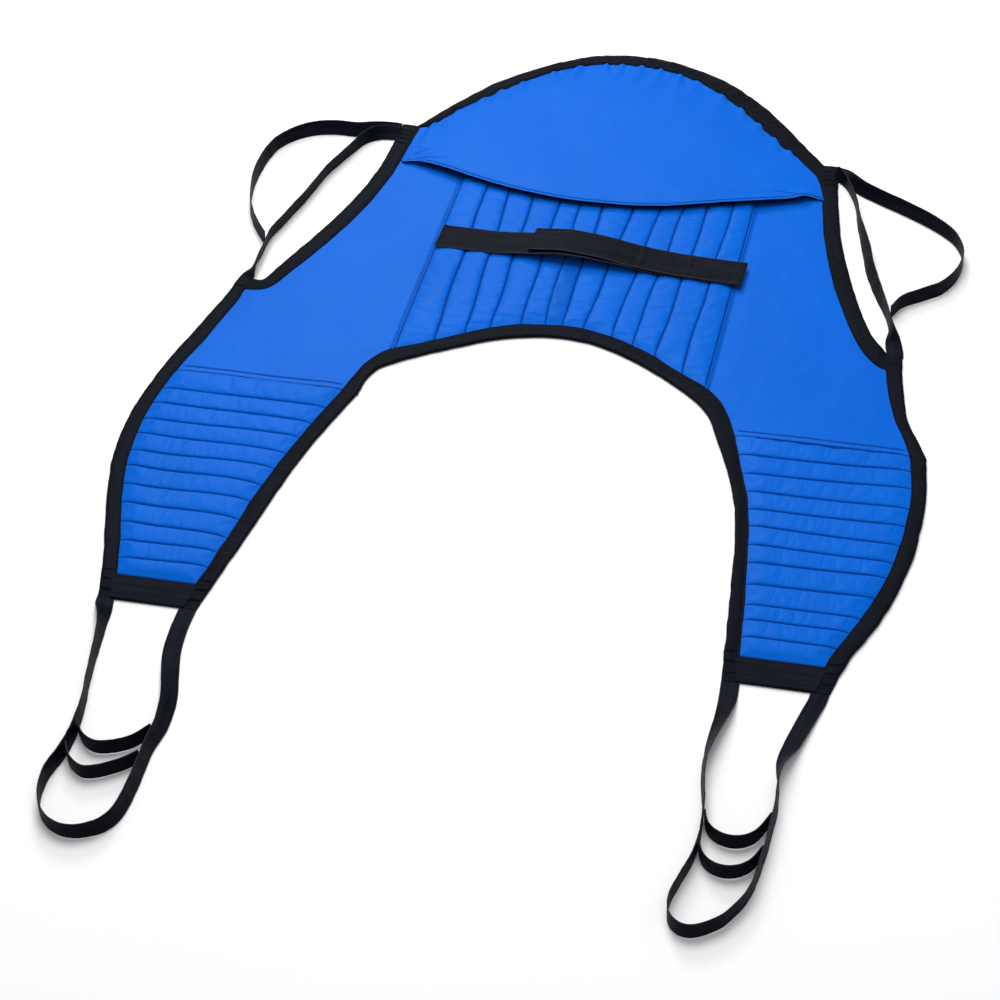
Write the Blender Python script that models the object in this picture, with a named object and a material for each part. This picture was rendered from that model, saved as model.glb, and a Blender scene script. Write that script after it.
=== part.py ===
"""Patient lift sling: a padded body sling with divided legs, a head pocket, a back handle and strap loops.

It lies open on its back on the floor.  X runs across it, +Y towards the head, +Z up from the floor.
Plan places are written (x, s): s is the distance, in metres, from a datum line near the head's top edge
towards the feet, and `HEAD_Y` is that line's Y.
"""

import math

import bpy
import mathutils

# Driving dimensions, in metres.
HEAD_Y = 0.953          # Y of the line that stations are measured from
GAP = 0.0003            # between pieces that touch
FABRIC = 0.0015         # one layer of polyester
BINDING_HIGH = 0.0060   # edge tape folded round the layers
FOAM = 0.0070
WEBBING_WIDE = 0.0250   # strap webbing
WEBBING_THICK = 0.0020
HANDLE_WIDE = 0.0580    # carrying handle's webbing
BAND_THICK = 0.0040     # webbing across each leg's end, both sides
HEM_WIDE = 0.0080       # the pocket's free edge, folded over
HEM_STEP = 0.0005       # and how much thicker it is on each side
PAD_INSET = 0.0060      # foam kept back from the cover's seams
POCKET_RISE = 0.0170    # underside of the head pocket's front, above the floor

HEAD_FOLD_S = 0.268     # line from shoulder corner to shoulder corner
POCKET_FOLD_S = 0.366   # line between the two sewn ends of the pocket's free edge
THIGH_SEAM_S = 0.976
BAND_TOP_S = 1.427
LEG_END_S = 1.476
PAD_HALF = 0.245        # half the back pad's width

# Heights of the layers, from the floor up.
LINER_TOP = FABRIC
FOAM_TOP = LINER_TOP + GAP + FOAM
COVER_TOP = FOAM_TOP + GAP + FABRIC
POCKET_TOP = POCKET_RISE + FABRIC

# Outer and inner edges of every length of binding, as hand-placed plan points.
HEAD_OUTER = [
    (-0.352, 0.268), (-0.300, 0.182), (-0.250, 0.114), (-0.200, 0.066), (-0.150, 0.029), (-0.100, 0.002),
    (-0.050, -0.008), (0.000, -0.009), (0.050, 0.003), (0.100, 0.024), (0.150, 0.056), (0.200, 0.103),
    (0.250, 0.160), (0.300, 0.224), (0.336, 0.268),
]
HEAD_INNER = [
    (-0.334, 0.268), (-0.285, 0.194), (-0.235, 0.136), (-0.190, 0.092), (-0.145, 0.058), (-0.095, 0.034),
    (-0.045, 0.026), (0.000, 0.026), (0.045, 0.036), (0.090, 0.056), (0.135, 0.088), (0.182, 0.132),
    (0.228, 0.184), (0.272, 0.236), (0.302, 0.268),
]
ARM_OUTER = {
    "left": [
        (-0.378, 0.268), (-0.380, 0.330), (-0.386, 0.410), (-0.402, 0.490), (-0.426, 0.570),
        (-0.452, 0.640), (-0.474, 0.700), (-0.487, 0.732), (-0.507, 0.729),
    ],
    "right": [
        (0.360, 0.268), (0.367, 0.330), (0.379, 0.410), (0.395, 0.490), (0.418, 0.570), (0.441, 0.640),
        (0.466, 0.703), (0.494, 0.742),
    ],
}
ARM_INNER = {
    "left": [
        (-0.346, 0.268), (-0.351, 0.330), (-0.358, 0.410), (-0.373, 0.490), (-0.396, 0.570),
        (-0.422, 0.640), (-0.448, 0.700), (-0.472, 0.750), (-0.507, 0.762),
    ],
    "right": [
        (0.316, 0.268), (0.338, 0.330), (0.352, 0.410), (0.367, 0.490), (0.388, 0.570), (0.411, 0.640),
        (0.437, 0.706), (0.465, 0.757), (0.498, 0.789),
    ],
}
HIP_OUTER = {
    "left": [
        (-0.527, 0.729), (-0.531, 0.770), (-0.542, 0.820), (-0.554, 0.875), (-0.566, 0.925),
        (-0.576, 0.976),
    ],
    "right": [
        (0.518, 0.742), (0.524, 0.800), (0.533, 0.850), (0.544, 0.900), (0.563, 0.940), (0.578, 0.976),
    ],
}
HIP_INNER = {
    "left": [
        (-0.507, 0.762), (-0.513, 0.805), (-0.523, 0.850), (-0.532, 0.900), (-0.543, 0.940),
        (-0.551, 0.976),
    ],
    "right": [
        (0.498, 0.789), (0.503, 0.820), (0.512, 0.860), (0.524, 0.900), (0.541, 0.940), (0.554, 0.976),
    ],
}
CROTCH_OUTER = [
    (-0.266, 0.976), (-0.262, 0.940), (-0.248, 0.912), (-0.222, 0.890), (-0.190, 0.869), (-0.150, 0.845),
    (-0.100, 0.817), (-0.050, 0.800), (0.000, 0.793), (0.050, 0.798), (0.100, 0.817), (0.150, 0.845),
    (0.195, 0.877), (0.232, 0.908), (0.256, 0.940), (0.271, 0.976),
]
CROTCH_INNER = [
    (-0.292, 0.976), (-0.284, 0.940), (-0.272, 0.902), (-0.248, 0.868), (-0.200, 0.843), (-0.150, 0.812),
    (-0.100, 0.784), (-0.050, 0.767), (0.000, 0.762), (0.050, 0.768), (0.100, 0.785), (0.150, 0.812),
    (0.200, 0.847), (0.246, 0.877), (0.278, 0.918), (0.301, 0.976),
]
THIGH_OUT_OUTER = {
    "left": [
        (-0.576, 0.976), (-0.586, 1.050), (-0.588, 1.110), (-0.583, 1.180), (-0.568, 1.250),
        (-0.545, 1.330), (-0.521, 1.410), (-0.506, 1.476),
    ],
    "right": [
        (0.578, 0.976), (0.587, 1.050), (0.588, 1.110), (0.585, 1.180), (0.574, 1.250), (0.553, 1.330),
        (0.522, 1.410), (0.506, 1.476),
    ],
}
THIGH_OUT_INNER = {
    "left": [
        (-0.551, 0.976), (-0.561, 1.050), (-0.563, 1.110), (-0.558, 1.180), (-0.544, 1.250),
        (-0.520, 1.330), (-0.497, 1.410), (-0.482, 1.476),
    ],
    "right": [
        (0.554, 0.976), (0.564, 1.050), (0.566, 1.110), (0.561, 1.180), (0.549, 1.250), (0.526, 1.330),
        (0.496, 1.410), (0.481, 1.476),
    ],
}
THIGH_IN_OUTER = {
    "left": [
        (-0.266, 0.976), (-0.287, 1.050), (-0.303, 1.110), (-0.317, 1.180), (-0.328, 1.250),
        (-0.340, 1.330), (-0.353, 1.410), (-0.363, 1.476),
    ],
    "right": [
        (0.271, 0.976), (0.300, 1.050), (0.319, 1.110), (0.333, 1.180), (0.341, 1.250), (0.349, 1.330),
        (0.356, 1.410), (0.362, 1.476),
    ],
}
THIGH_IN_INNER = {
    "left": [
        (-0.292, 0.976), (-0.313, 1.050), (-0.328, 1.110), (-0.343, 1.180), (-0.355, 1.250),
        (-0.365, 1.330), (-0.377, 1.410), (-0.388, 1.476),
    ],
    "right": [
        (0.301, 0.976), (0.323, 1.050), (0.340, 1.110), (0.353, 1.180), (0.362, 1.250), (0.371, 1.330),
        (0.378, 1.410), (0.387, 1.476),
    ],
}
POCKET_EDGE = [
    (-0.344, 0.372), (-0.290, 0.388), (-0.200, 0.422), (-0.100, 0.446), (0.000, 0.452), (0.100, 0.442),
    (0.200, 0.413), (0.290, 0.384), (0.337, 0.372),
]

# Webbing routes on the floor, as (x, s, lean).  Lean 0 stands on edge and 90 lies flat, in degrees.
SHOULDER_LOOP = {
    "left": [
        (-0.3815, 0.284, 0), (-0.416, 0.294, 0), (-0.446, 0.305, 0), (-0.480, 0.305, 0), (-0.516, 0.315, 0),
        (-0.546, 0.338, 0), (-0.567, 0.370, 0), (-0.576, 0.410, 0), (-0.577, 0.460, 0), (-0.571, 0.510, 0),
        (-0.557, 0.560, 0), (-0.536, 0.600, 0), (-0.5135, 0.632, 0),
    ],
    "right": [
        (0.3640, 0.284, 0), (0.380, 0.305, 0), (0.406, 0.330, 0), (0.441, 0.352, 0), (0.481, 0.375, 0),
        (0.521, 0.401, 0), (0.559, 0.434, 0), (0.577, 0.464, 0), (0.583, 0.495, 0), (0.577, 0.540, 0),
        (0.558, 0.577, 0), (0.531, 0.600, 0), (0.503, 0.623, 0), (0.4885, 0.650, 0),
    ],
}
SHOULDER_STRAP = {
    "left": [
        (-0.3815, 0.300, 0), (-0.408, 0.309, 0), (-0.428, 0.328, 0), (-0.447, 0.375, 0), (-0.463, 0.420, 0),
        (-0.474, 0.470, 0), (-0.485, 0.525, 0), (-0.497, 0.575, 0), (-0.508, 0.620, 0), (-0.508, 0.655, 0),
        (-0.506, 0.690, 0), (-0.5115, 0.7265, 0),
    ],
    "right": [
        (0.3650, 0.298, 0), (0.384, 0.328, 0), (0.400, 0.370, 0), (0.414, 0.430, 0), (0.431, 0.490, 0),
        (0.446, 0.550, 0), (0.463, 0.600, 0), (0.480, 0.645, 0), (0.491, 0.690, 0), (0.501, 0.720, 0),
        (0.5060, 0.7395, 0),
    ],
}
LEG_LOOP = {
    "left": [
        (-0.494, 1.4768, 90), (-0.493, 1.4850, 90), (-0.487, 1.503, 75), (-0.480, 1.528, 25),
        (-0.472, 1.575, 0), (-0.463, 1.630, 0), (-0.453, 1.685, 0), (-0.448, 1.730, 0), (-0.450, 1.775, 0),
        (-0.458, 1.820, 0), (-0.451, 1.862, 0), (-0.432, 1.891, 0), (-0.405, 1.905, 0), (-0.375, 1.899, 0),
        (-0.353, 1.880, 0), (-0.345, 1.845, 0), (-0.345, 1.795, 0), (-0.347, 1.745, 0), (-0.345, 1.695, 0),
        (-0.350, 1.648, -20), (-0.363, 1.602, -50), (-0.373, 1.560, -80), (-0.376, 1.520, -90),
        (-0.376, 1.495, -90), (-0.3755, 1.4840, -90), (-0.3755, 1.4768, -90),
    ],
    "right": [
        (0.493, 1.4768, -90), (0.493, 1.4840, -90), (0.490, 1.495, -88), (0.484, 1.514, -80),
        (0.475, 1.550, -50), (0.466, 1.595, -20), (0.463, 1.640, 0), (0.467, 1.690, 0), (0.466, 1.740, 0),
        (0.463, 1.790, 0), (0.456, 1.840, 0), (0.437, 1.882, 0), (0.412, 1.907, 0), (0.388, 1.915, 0),
        (0.368, 1.901, 0), (0.362, 1.872, 0), (0.370, 1.832, 0), (0.380, 1.790, 0), (0.381, 1.745, 0),
        (0.376, 1.700, 0), (0.368, 1.650, 0), (0.368, 1.600, 0), (0.374, 1.553, 25), (0.376, 1.515, 75),
        (0.375, 1.495, 88), (0.3745, 1.4840, 90), (0.3745, 1.4768, 90),
    ],
}
RUNG = {
    "left_upper": [
        (-0.4462, 1.724), (-0.434, 1.744), (-0.416, 1.757), (-0.395, 1.756), (-0.368, 1.742),
        (-0.3482, 1.716),
    ],
    "left_lower": [
        (-0.4466, 1.766), (-0.437, 1.786), (-0.416, 1.803), (-0.395, 1.800), (-0.368, 1.783),
        (-0.3487, 1.764),
    ],
    "right_upper": [
        (0.3820, 1.726), (0.390, 1.748), (0.408, 1.761), (0.430, 1.762), (0.450, 1.748), (0.4639, 1.716),
    ],
    "right_lower": [
        (0.3832, 1.776), (0.391, 1.798), (0.408, 1.811), (0.430, 1.812), (0.450, 1.798), (0.4617, 1.772),
    ],
}
HANDLE_BASE = [
    (-0.243, 0.576, 0), (-0.155, 0.579, 0), (-0.090, 0.583, 0.008), (-0.020, 0.587, 0.017),
    (0.060, 0.591, 0.010), (0.110, 0.594, 0.002), (0.165, 0.596, 0), (0.255, 0.600, 0),
]
HANDLE_GRIP = [
    (-0.087, 0.577, 0.013), (-0.030, 0.581, 0.0205), (0.030, 0.585, 0.0170), (0.085, 0.588, 0.0085),
    (0.125, 0.590, 0.0045), (0.168, 0.592, 0.0025), (0.255, 0.596, 0.0025),
]

FABRIC_BLUE = (0.012, 0.150, 0.800, 1.0)
WEBBING_BLACK = (0.010, 0.011, 0.016, 1.0)
FOAM_GREY = (0.550, 0.550, 0.520, 1.0)


def clear_scene():
    for thing in list(bpy.data.objects):
        bpy.data.objects.remove(thing, do_unlink=True)


def new_collection():
    made = bpy.data.collections.new("patient_lift_sling")
    bpy.context.scene.collection.children.link(made)
    return made


def material(name, colour, roughness):
    made = bpy.data.materials.new(name)
    made.use_nodes = True
    shader = made.node_tree.nodes["Principled BSDF"]
    shader.inputs["Base Color"].default_value = colour
    shader.inputs["Roughness"].default_value = roughness
    shader.inputs["Metallic"].default_value = 0.0
    return made


def smooth(points, cuts=3):
    """A Catmull-Rom line through hand-placed points of any length, with `cuts` steps to each span."""
    ends = [points[0], *points, points[-1]]
    line = []
    for a, b, c, d in zip(ends, ends[1:], ends[2:], ends[3:]):
        for step in range(cuts):
            t = step / cuts
            line.append(tuple(
                q + 0.5 * ((r - p) * t + (2 * p - 5 * q + 4 * r - s) * t**2 + (3 * q - p - 3 * r + s) * t**3)
                for p, q, r, s in zip(a, b, c, d)
            ))
    return line + [tuple(points[-1])]


def clockwise_area(outline):
    return 0.5 * sum(x0 * s1 - x1 * s0 for (x0, s0), (x1, s1) in zip(outline, outline[1:] + outline[:1]))


def inset(outline, distance):
    """The closed outline moved inwards, so that two pieces drawn on one line keep a gap."""
    side = math.copysign(distance, clockwise_area(outline))
    moved = []
    for before, here, after in zip(outline[-1:] + outline[:-1], outline, outline[1:] + outline[:1]):
        ax, ay = here[0] - before[0], here[1] - before[1]
        bx, by = after[0] - here[0], after[1] - here[1]
        a, b = math.hypot(ax, ay), math.hypot(bx, by)
        nx, ny = -ay / a - by / b, ax / a + bx / b
        scale = 2 * side / max(nx * nx + ny * ny, 1.0)
        moved.append((here[0] + nx * scale, here[1] + ny * scale))
    return moved


def place(name, data, collection, look, origin=(0.0, 0.0, 0.0)):
    """An object in the collection, with its origin moved to the joint that carries it."""
    data.transform(mathutils.Matrix.Translation([-value for value in origin]))
    data.materials.append(look)
    made = bpy.data.objects.new(name, data)
    made.location = origin
    collection.objects.link(made)
    return made


def slab(name, outline, low, high, collection, look, origin=(0.0, 0.0, 0.0)):
    """A flat piece cut to a plan outline, from one height to another."""
    data = bpy.data.curves.new(name, "CURVE")
    data.dimensions = "2D"
    data.fill_mode = "BOTH"
    data.extrude = (high - low) / 2
    line = data.splines.new("POLY")
    corners = inset(outline, GAP / 2)
    line.points.add(len(corners) - 1)
    for point, (x, s) in zip(line.points, corners):
        point.co = (x, HEAD_Y - s, 0.0, 1.0)
    line.use_cyclic_u = True
    made = place(name, data, collection, look, (origin[0], origin[1], 0.0))
    made.location.z = (low + high) / 2
    return made


def on_floor(points):
    """A floor route's points with the height that each one's lean gives the webbing's middle."""
    route = []
    for x, s, lean in points:
        across = WEBBING_WIDE / 2 * abs(math.cos(math.radians(lean)))
        through = WEBBING_THICK / 2 * abs(math.sin(math.radians(lean)))
        route.append((x, s, across + through + GAP, lean))
    return route


def ribbon(name, route, wide, thick, collection, look, origin=(0.0, 0.0, 0.0)):
    """Webbing along a route of (x, s, height, lean)."""
    data = bpy.data.curves.new(name, "CURVE")
    data.dimensions = "3D"
    data.twist_mode = "Z_UP"
    data.extrude = (wide - thick) / 2
    data.bevel_depth = thick / 2
    data.bevel_resolution = 0
    data.use_fill_caps = True
    line = data.splines.new("POLY")
    line.points.add(len(route) - 1)
    for point, (x, s, height, lean) in zip(line.points, route):
        point.co = (x, HEAD_Y - s, height, 1.0)
        point.tilt = math.radians(lean)
    return place(name, data, collection, look, origin)


def band_between(outer, inner):
    """The outline between a binding's two edges."""
    return smooth(outer) + smooth(inner)[::-1]


def along(run, station):
    """The point where a run crosses a station."""
    for (x0, s0), (x1, s1) in zip(run, run[1:]):
        if s0 <= station <= s1:
            return (x0 + (x1 - x0) * (station - s0) / (s1 - s0), station)
    return run[-1]


def build_torso(collection, looks):
    left_arm = smooth(ARM_INNER["left"])
    right_arm = smooth(ARM_INNER["right"])
    left_hip = smooth(HIP_INNER["left"])
    right_hip = smooth(HIP_INNER["right"])
    crotch = smooth(CROTCH_INNER)
    whole = right_arm + right_hip[1:] + crotch[::-1] + left_hip[::-1] + left_arm[::-1][1:]
    slab("back_liner", whole, 0.0, LINER_TOP, collection, looks["blue"])

    arch = [point for point in crotch if abs(point[0]) < PAD_HALF]
    arch_end = {"left": (-PAD_HALF, 0.8665), "right": (PAD_HALF, 0.8762)}
    top_left, top_right = (-PAD_HALF, HEAD_FOLD_S), (PAD_HALF, HEAD_FOLD_S)
    pad = [top_right, arch_end["right"], *arch[::-1], arch_end["left"], top_left]
    slab("back_pad_foam", inset(pad, PAD_INSET), LINER_TOP + GAP, FOAM_TOP, collection, looks["foam"])
    slab("back_pad_cover", pad, FOAM_TOP + GAP, COVER_TOP, collection, looks["blue"])

    left_rest = [point for point in crotch if point[0] < -PAD_HALF]
    right_rest = [point for point in crotch if point[0] > PAD_HALF]
    left_side = [top_left, *left_arm, *left_hip[1:], *left_rest, arch_end["left"]]
    right_side = [top_right, *right_arm, *right_hip[1:], *right_rest[::-1], arch_end["right"]]
    panel_low = LINER_TOP + GAP
    slab("side_panel_left", left_side, panel_low, panel_low + FABRIC, collection, looks["blue"])
    slab("side_panel_right", right_side, panel_low, panel_low + FABRIC, collection, looks["blue"])

    for side in ("left", "right"):
        arm = band_between(ARM_OUTER[side], ARM_INNER[side])
        slab(f"arm_binding_{side}", arm, 0.0, BINDING_HIGH, collection, looks["black"])
        hip = [*band_between(HIP_OUTER[side], HIP_INNER[side]), ARM_OUTER[side][-1]]
        slab(f"hip_binding_{side}", hip, 0.0, BINDING_HIGH, collection, looks["black"])
    arch_band = band_between(CROTCH_OUTER, CROTCH_INNER)
    slab("crotch_binding", arch_band, 0.0, BINDING_HIGH, collection, looks["black"])

    # The pocket's front, between the shoulder line and the line its free edge swings on.
    front = [
        (-0.344, HEAD_FOLD_S), (0.312, HEAD_FOLD_S), (0.334, 0.330), (0.340, POCKET_FOLD_S),
        (-0.348, POCKET_FOLD_S), (-0.348, 0.330),
    ]
    slab("pocket_front", front, POCKET_RISE, POCKET_TOP, collection, looks["blue"])


def build_head(collection, looks):
    hinge = (0.0, HEAD_Y - HEAD_FOLD_S, 0.0)
    edge = band_between(HEAD_OUTER, HEAD_INNER)
    slab("head_binding", edge, 0.0, POCKET_TOP, collection, looks["black"], hinge)
    panel = smooth(HEAD_INNER)
    slab("head_panel", panel, 0.0, FABRIC, collection, looks["blue"], hinge)
    slab("head_pocket", panel, POCKET_RISE, POCKET_TOP, collection, looks["blue"], hinge)


def build_pocket_lip(collection, looks):
    hinge = (0.0, HEAD_Y - POCKET_FOLD_S, 0.0)
    edge = smooth(POCKET_EDGE)
    hem = [(x, s - HEM_WIDE) for x, s in edge[1:-1]]
    lip = [(-0.340, POCKET_FOLD_S), *hem, (0.333, POCKET_FOLD_S)]
    slab("pocket_lip", lip, POCKET_RISE, POCKET_TOP, collection, looks["blue"], hinge)
    strip = [(-0.345, POCKET_FOLD_S), *edge, (0.338, POCKET_FOLD_S), (0.333, POCKET_FOLD_S), *hem[::-1]]
    strip.append((-0.340, POCKET_FOLD_S))
    slab("pocket_hem", strip, POCKET_RISE - HEM_STEP, POCKET_TOP + HEM_STEP, collection, looks["blue"], hinge)


def build_thigh(side, collection, looks):
    hinge = (0.0, HEAD_Y - THIGH_SEAM_S, 0.0)
    outer = smooth(THIGH_OUT_INNER[side])
    inner = smooth(THIGH_IN_INNER[side])
    band_out = along(outer, BAND_TOP_S)
    band_in = along(inner, BAND_TOP_S)
    pad_out = [point for point in outer if point[1] < BAND_TOP_S]
    pad_in = [point for point in inner if point[1] < BAND_TOP_S]
    pad = [*pad_out, band_out, band_in, *pad_in[::-1]]
    slab(f"thigh_liner_{side}", pad, 0.0, LINER_TOP, collection, looks["blue"], hinge)
    foam = inset(pad, PAD_INSET)
    slab(f"thigh_foam_{side}", foam, LINER_TOP + GAP, FOAM_TOP, collection, looks["foam"], hinge)
    slab(f"thigh_cover_{side}", pad, FOAM_TOP + GAP, COVER_TOP, collection, looks["blue"], hinge)
    for place_name, edges in (
        ("outer", (THIGH_OUT_OUTER[side], THIGH_OUT_INNER[side])),
        ("inner", (THIGH_IN_OUTER[side], THIGH_IN_INNER[side])),
    ):
        outline = band_between(*edges)
        name = f"thigh_{place_name}_binding_{side}"
        slab(name, outline, 0.0, BINDING_HIGH, collection, looks["black"], hinge)
    band = [band_out, *outer[len(pad_out):], *inner[len(pad_in):][::-1], band_in]
    slab(f"leg_band_{side}", band, 0.0, BAND_THICK, collection, looks["black"], hinge)


def build_leg_loop(side, collection, looks):
    hinge = (0.0, HEAD_Y - LEG_END_S, 0.0)
    route = on_floor(smooth(LEG_LOOP[side], 2))
    ribbon(f"leg_loop_{side}", route, WEBBING_WIDE, WEBBING_THICK, collection, looks["black"], hinge)
    for level in ("upper", "lower"):
        route = on_floor([(x, s, 0.0) for x, s in smooth(RUNG[f"{side}_{level}"], 2)])
        name = f"leg_loop_rung_{level}_{side}"
        ribbon(name, route, WEBBING_WIDE, WEBBING_THICK, collection, looks["black"], hinge)


def build_shoulder_loop(side, collection, looks):
    top = ARM_OUTER[side][0]
    hinge = (top[0], HEAD_Y - top[1], WEBBING_WIDE / 2)
    for name, routes in (("shoulder_loop", SHOULDER_LOOP), ("shoulder_strap", SHOULDER_STRAP)):
        route = on_floor(smooth(routes[side], 2))
        ribbon(f"{name}_{side}", route, WEBBING_WIDE, WEBBING_THICK, collection, looks["black"], hinge)


def build_handle(collection, looks):
    low = COVER_TOP + GAP + WEBBING_THICK / 2
    for name, points in (("handle_base", HANDLE_BASE), ("handle_grip", HANDLE_GRIP)):
        route = [(x, s, low + max(rise, 0.0), 90.0) for x, s, rise in smooth(points)]
        ribbon(name, route, HANDLE_WIDE, WEBBING_THICK, collection, looks["black"])


def main():
    clear_scene()
    collection = new_collection()
    looks = {
        "blue": material("blue_polyester", FABRIC_BLUE, 0.45),
        "black": material("black_webbing", WEBBING_BLACK, 0.55),
        "foam": material("foam", FOAM_GREY, 0.95),
    }
    build_torso(collection, looks)
    build_head(collection, looks)
    build_pocket_lip(collection, looks)
    build_handle(collection, looks)
    for side in ("left", "right"):
        build_thigh(side, collection, looks)
        build_leg_loop(side, collection, looks)
        build_shoulder_loop(side, collection, looks)


main()
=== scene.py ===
"""Patient lift sling, laid open on the floor: the visual model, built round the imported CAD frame.

Plan places are written (x, s): s is the distance in metres from the head end's datum line towards the feet,
so y = HEAD_Y - s.  The bound edges and outlines are read from the CAD nodes; the webbing routes follow the
CAD's own to within a few millimetres, with leans of their own.
"""

import math

import bmesh
import bpy
import numpy as np
from mathutils import Matrix, Vector, geometry, noise

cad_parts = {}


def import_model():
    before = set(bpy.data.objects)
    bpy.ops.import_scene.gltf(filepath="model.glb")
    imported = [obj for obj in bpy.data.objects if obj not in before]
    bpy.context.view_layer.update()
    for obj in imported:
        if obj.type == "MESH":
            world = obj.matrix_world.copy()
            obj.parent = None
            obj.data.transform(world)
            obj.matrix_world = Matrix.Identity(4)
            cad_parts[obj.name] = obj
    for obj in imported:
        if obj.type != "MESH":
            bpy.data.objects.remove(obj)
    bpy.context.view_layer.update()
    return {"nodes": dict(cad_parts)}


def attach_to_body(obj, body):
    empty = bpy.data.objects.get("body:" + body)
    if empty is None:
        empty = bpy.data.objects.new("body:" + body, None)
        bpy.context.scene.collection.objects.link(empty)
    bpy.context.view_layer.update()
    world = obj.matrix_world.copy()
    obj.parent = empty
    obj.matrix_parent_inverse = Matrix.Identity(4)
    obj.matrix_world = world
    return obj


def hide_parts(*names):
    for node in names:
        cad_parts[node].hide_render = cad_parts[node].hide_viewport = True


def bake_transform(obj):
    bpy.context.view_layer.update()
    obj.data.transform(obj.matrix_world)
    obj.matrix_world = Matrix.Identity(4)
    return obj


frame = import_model()

HEAD_Y = 0.953
MM = 0.001
SIDES = ("left", "right")
SIGN = {"left": -1, "right": 1}

# Stations, the same as in the CAD.
HEAD_FOLD_S = 0.268
POCKET_FOLD_S = 0.366
THIGH_SEAM_S = 0.976
BAND_TOP_S = 1.427
LEG_END_S = 1.476
PAD_HALF = 0.245

# Rows of fabric near the leg's seam: the tuck above it, and the puckers beside it.
TUCK_S = 0.9635
PUCKER_S = 0.9755

CLOTH_THICK = 1.1 * MM
LINER_THICK = 0.9 * MM
FLOOR_GAP = 0.15 * MM
STITCH_LOW = 0.10 * MM


# ---------------------------------------------------------------- plan geometry

def outline(node):
    """The plan outline of a flat CAD node's top face, anticlockwise, as rows of (x, s)."""
    mesh = frame["nodes"][node].data
    top = max(v.co.z for v in mesh.vertices)
    number, places, ids = {}, [], []
    for v in mesh.vertices:
        key = (round(v.co.x, 5), round(v.co.y, 5))
        if v.co.z < top - 1e-5:
            ids.append(None)
            continue
        if key not in number:
            number[key] = len(places)
            places.append((v.co.x, HEAD_Y - v.co.y))
        ids.append(number[key])
    directed = set()
    for face in mesh.polygons:
        loop = [ids[i] for i in face.vertices]
        if None in loop or len(set(loop)) < 3:
            continue
        directed.update(zip(loop, loop[1:] + loop[:1]))
    follows = {a: b for a, b in directed if (b, a) not in directed}
    start = next(iter(sorted(follows)))
    walk = [start]
    while follows[walk[-1]] != start:
        walk.append(follows[walk[-1]])
    return np.array([places[i] for i in walk])


def nearest(points, place):
    return int(np.argmin(((points - np.array(place)) ** 2).sum(1)))


def run(loop, start, end, avoid):
    """The part of a closed loop from one corner to another that doesn't pass the corner to avoid."""
    i, j, k = nearest(loop, start), nearest(loop, end), nearest(loop, avoid)
    n = len(loop)
    forward = [(i + step) % n for step in range((j - i) % n + 1)]
    if k in forward[1:-1] or (k in forward and k not in (i, j)):
        forward = [(i - step) % n for step in range((i - j) % n + 1)]
    return loop[forward]


def lengths(points):
    return np.concatenate([[0.0], np.cumsum(np.linalg.norm(np.diff(points, axis=0), axis=1))])


def resample(points, count):
    """The same line with evenly spaced points."""
    points = np.asarray(points, float)
    at = lengths(points)
    want = np.linspace(0, at[-1], count)
    return np.stack([np.interp(want, at, points[:, k]) for k in range(points.shape[1])], 1)


def eased(points, passes=3):
    """The line with its small corners rounded; its ends stay."""
    points = np.array(points, float)
    for _ in range(passes):
        points[1:-1] = 0.25 * points[:-2] + 0.5 * points[1:-1] + 0.25 * points[2:]
    return points


def catmull(points, cuts):
    """The CAD's own smooth line through given points."""
    ends = [points[0], *points, points[-1]]
    line = []
    for a, b, c, d in zip(ends, ends[1:], ends[2:], ends[3:]):
        for step in range(cuts):
            t = step / cuts
            line.append([
                q + 0.5 * ((r - p) * t + (2 * p - 5 * q + 4 * r - s) * t**2 + (3 * q - p - 3 * r + s) * t**3)
                for p, q, r, s in zip(a, b, c, d)
            ])
    return np.array(line + [list(points[-1])])


def wave(x, s, seed, size, detail=2):
    """Smooth noise from about -1 to 1 over the plan, with features of the given size."""
    x, s = np.broadcast_arrays(np.asarray(x, float), np.asarray(s, float))
    flat = [
        noise.fractal(Vector((a / size, b / size, seed * 3.7)), 1.0, 2.0, detail)
        for a, b in zip(x.ravel(), s.ravel())
    ]
    return np.array(flat).reshape(x.shape)


def step_between(value, low, high):
    t = np.clip((np.asarray(value, float) - low) / (high - low), 0, 1)
    return t * t * (3 - 2 * t)


def bell(value, centre, width):
    """A smooth bump, 1 at its centre."""
    return np.exp(-(((value - centre) / width) ** 2))


# ---------------------------------------------------------------- materials

WAVE_SCALE = 0.314159     # the wave texture's Scale for a period of one metre


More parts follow.
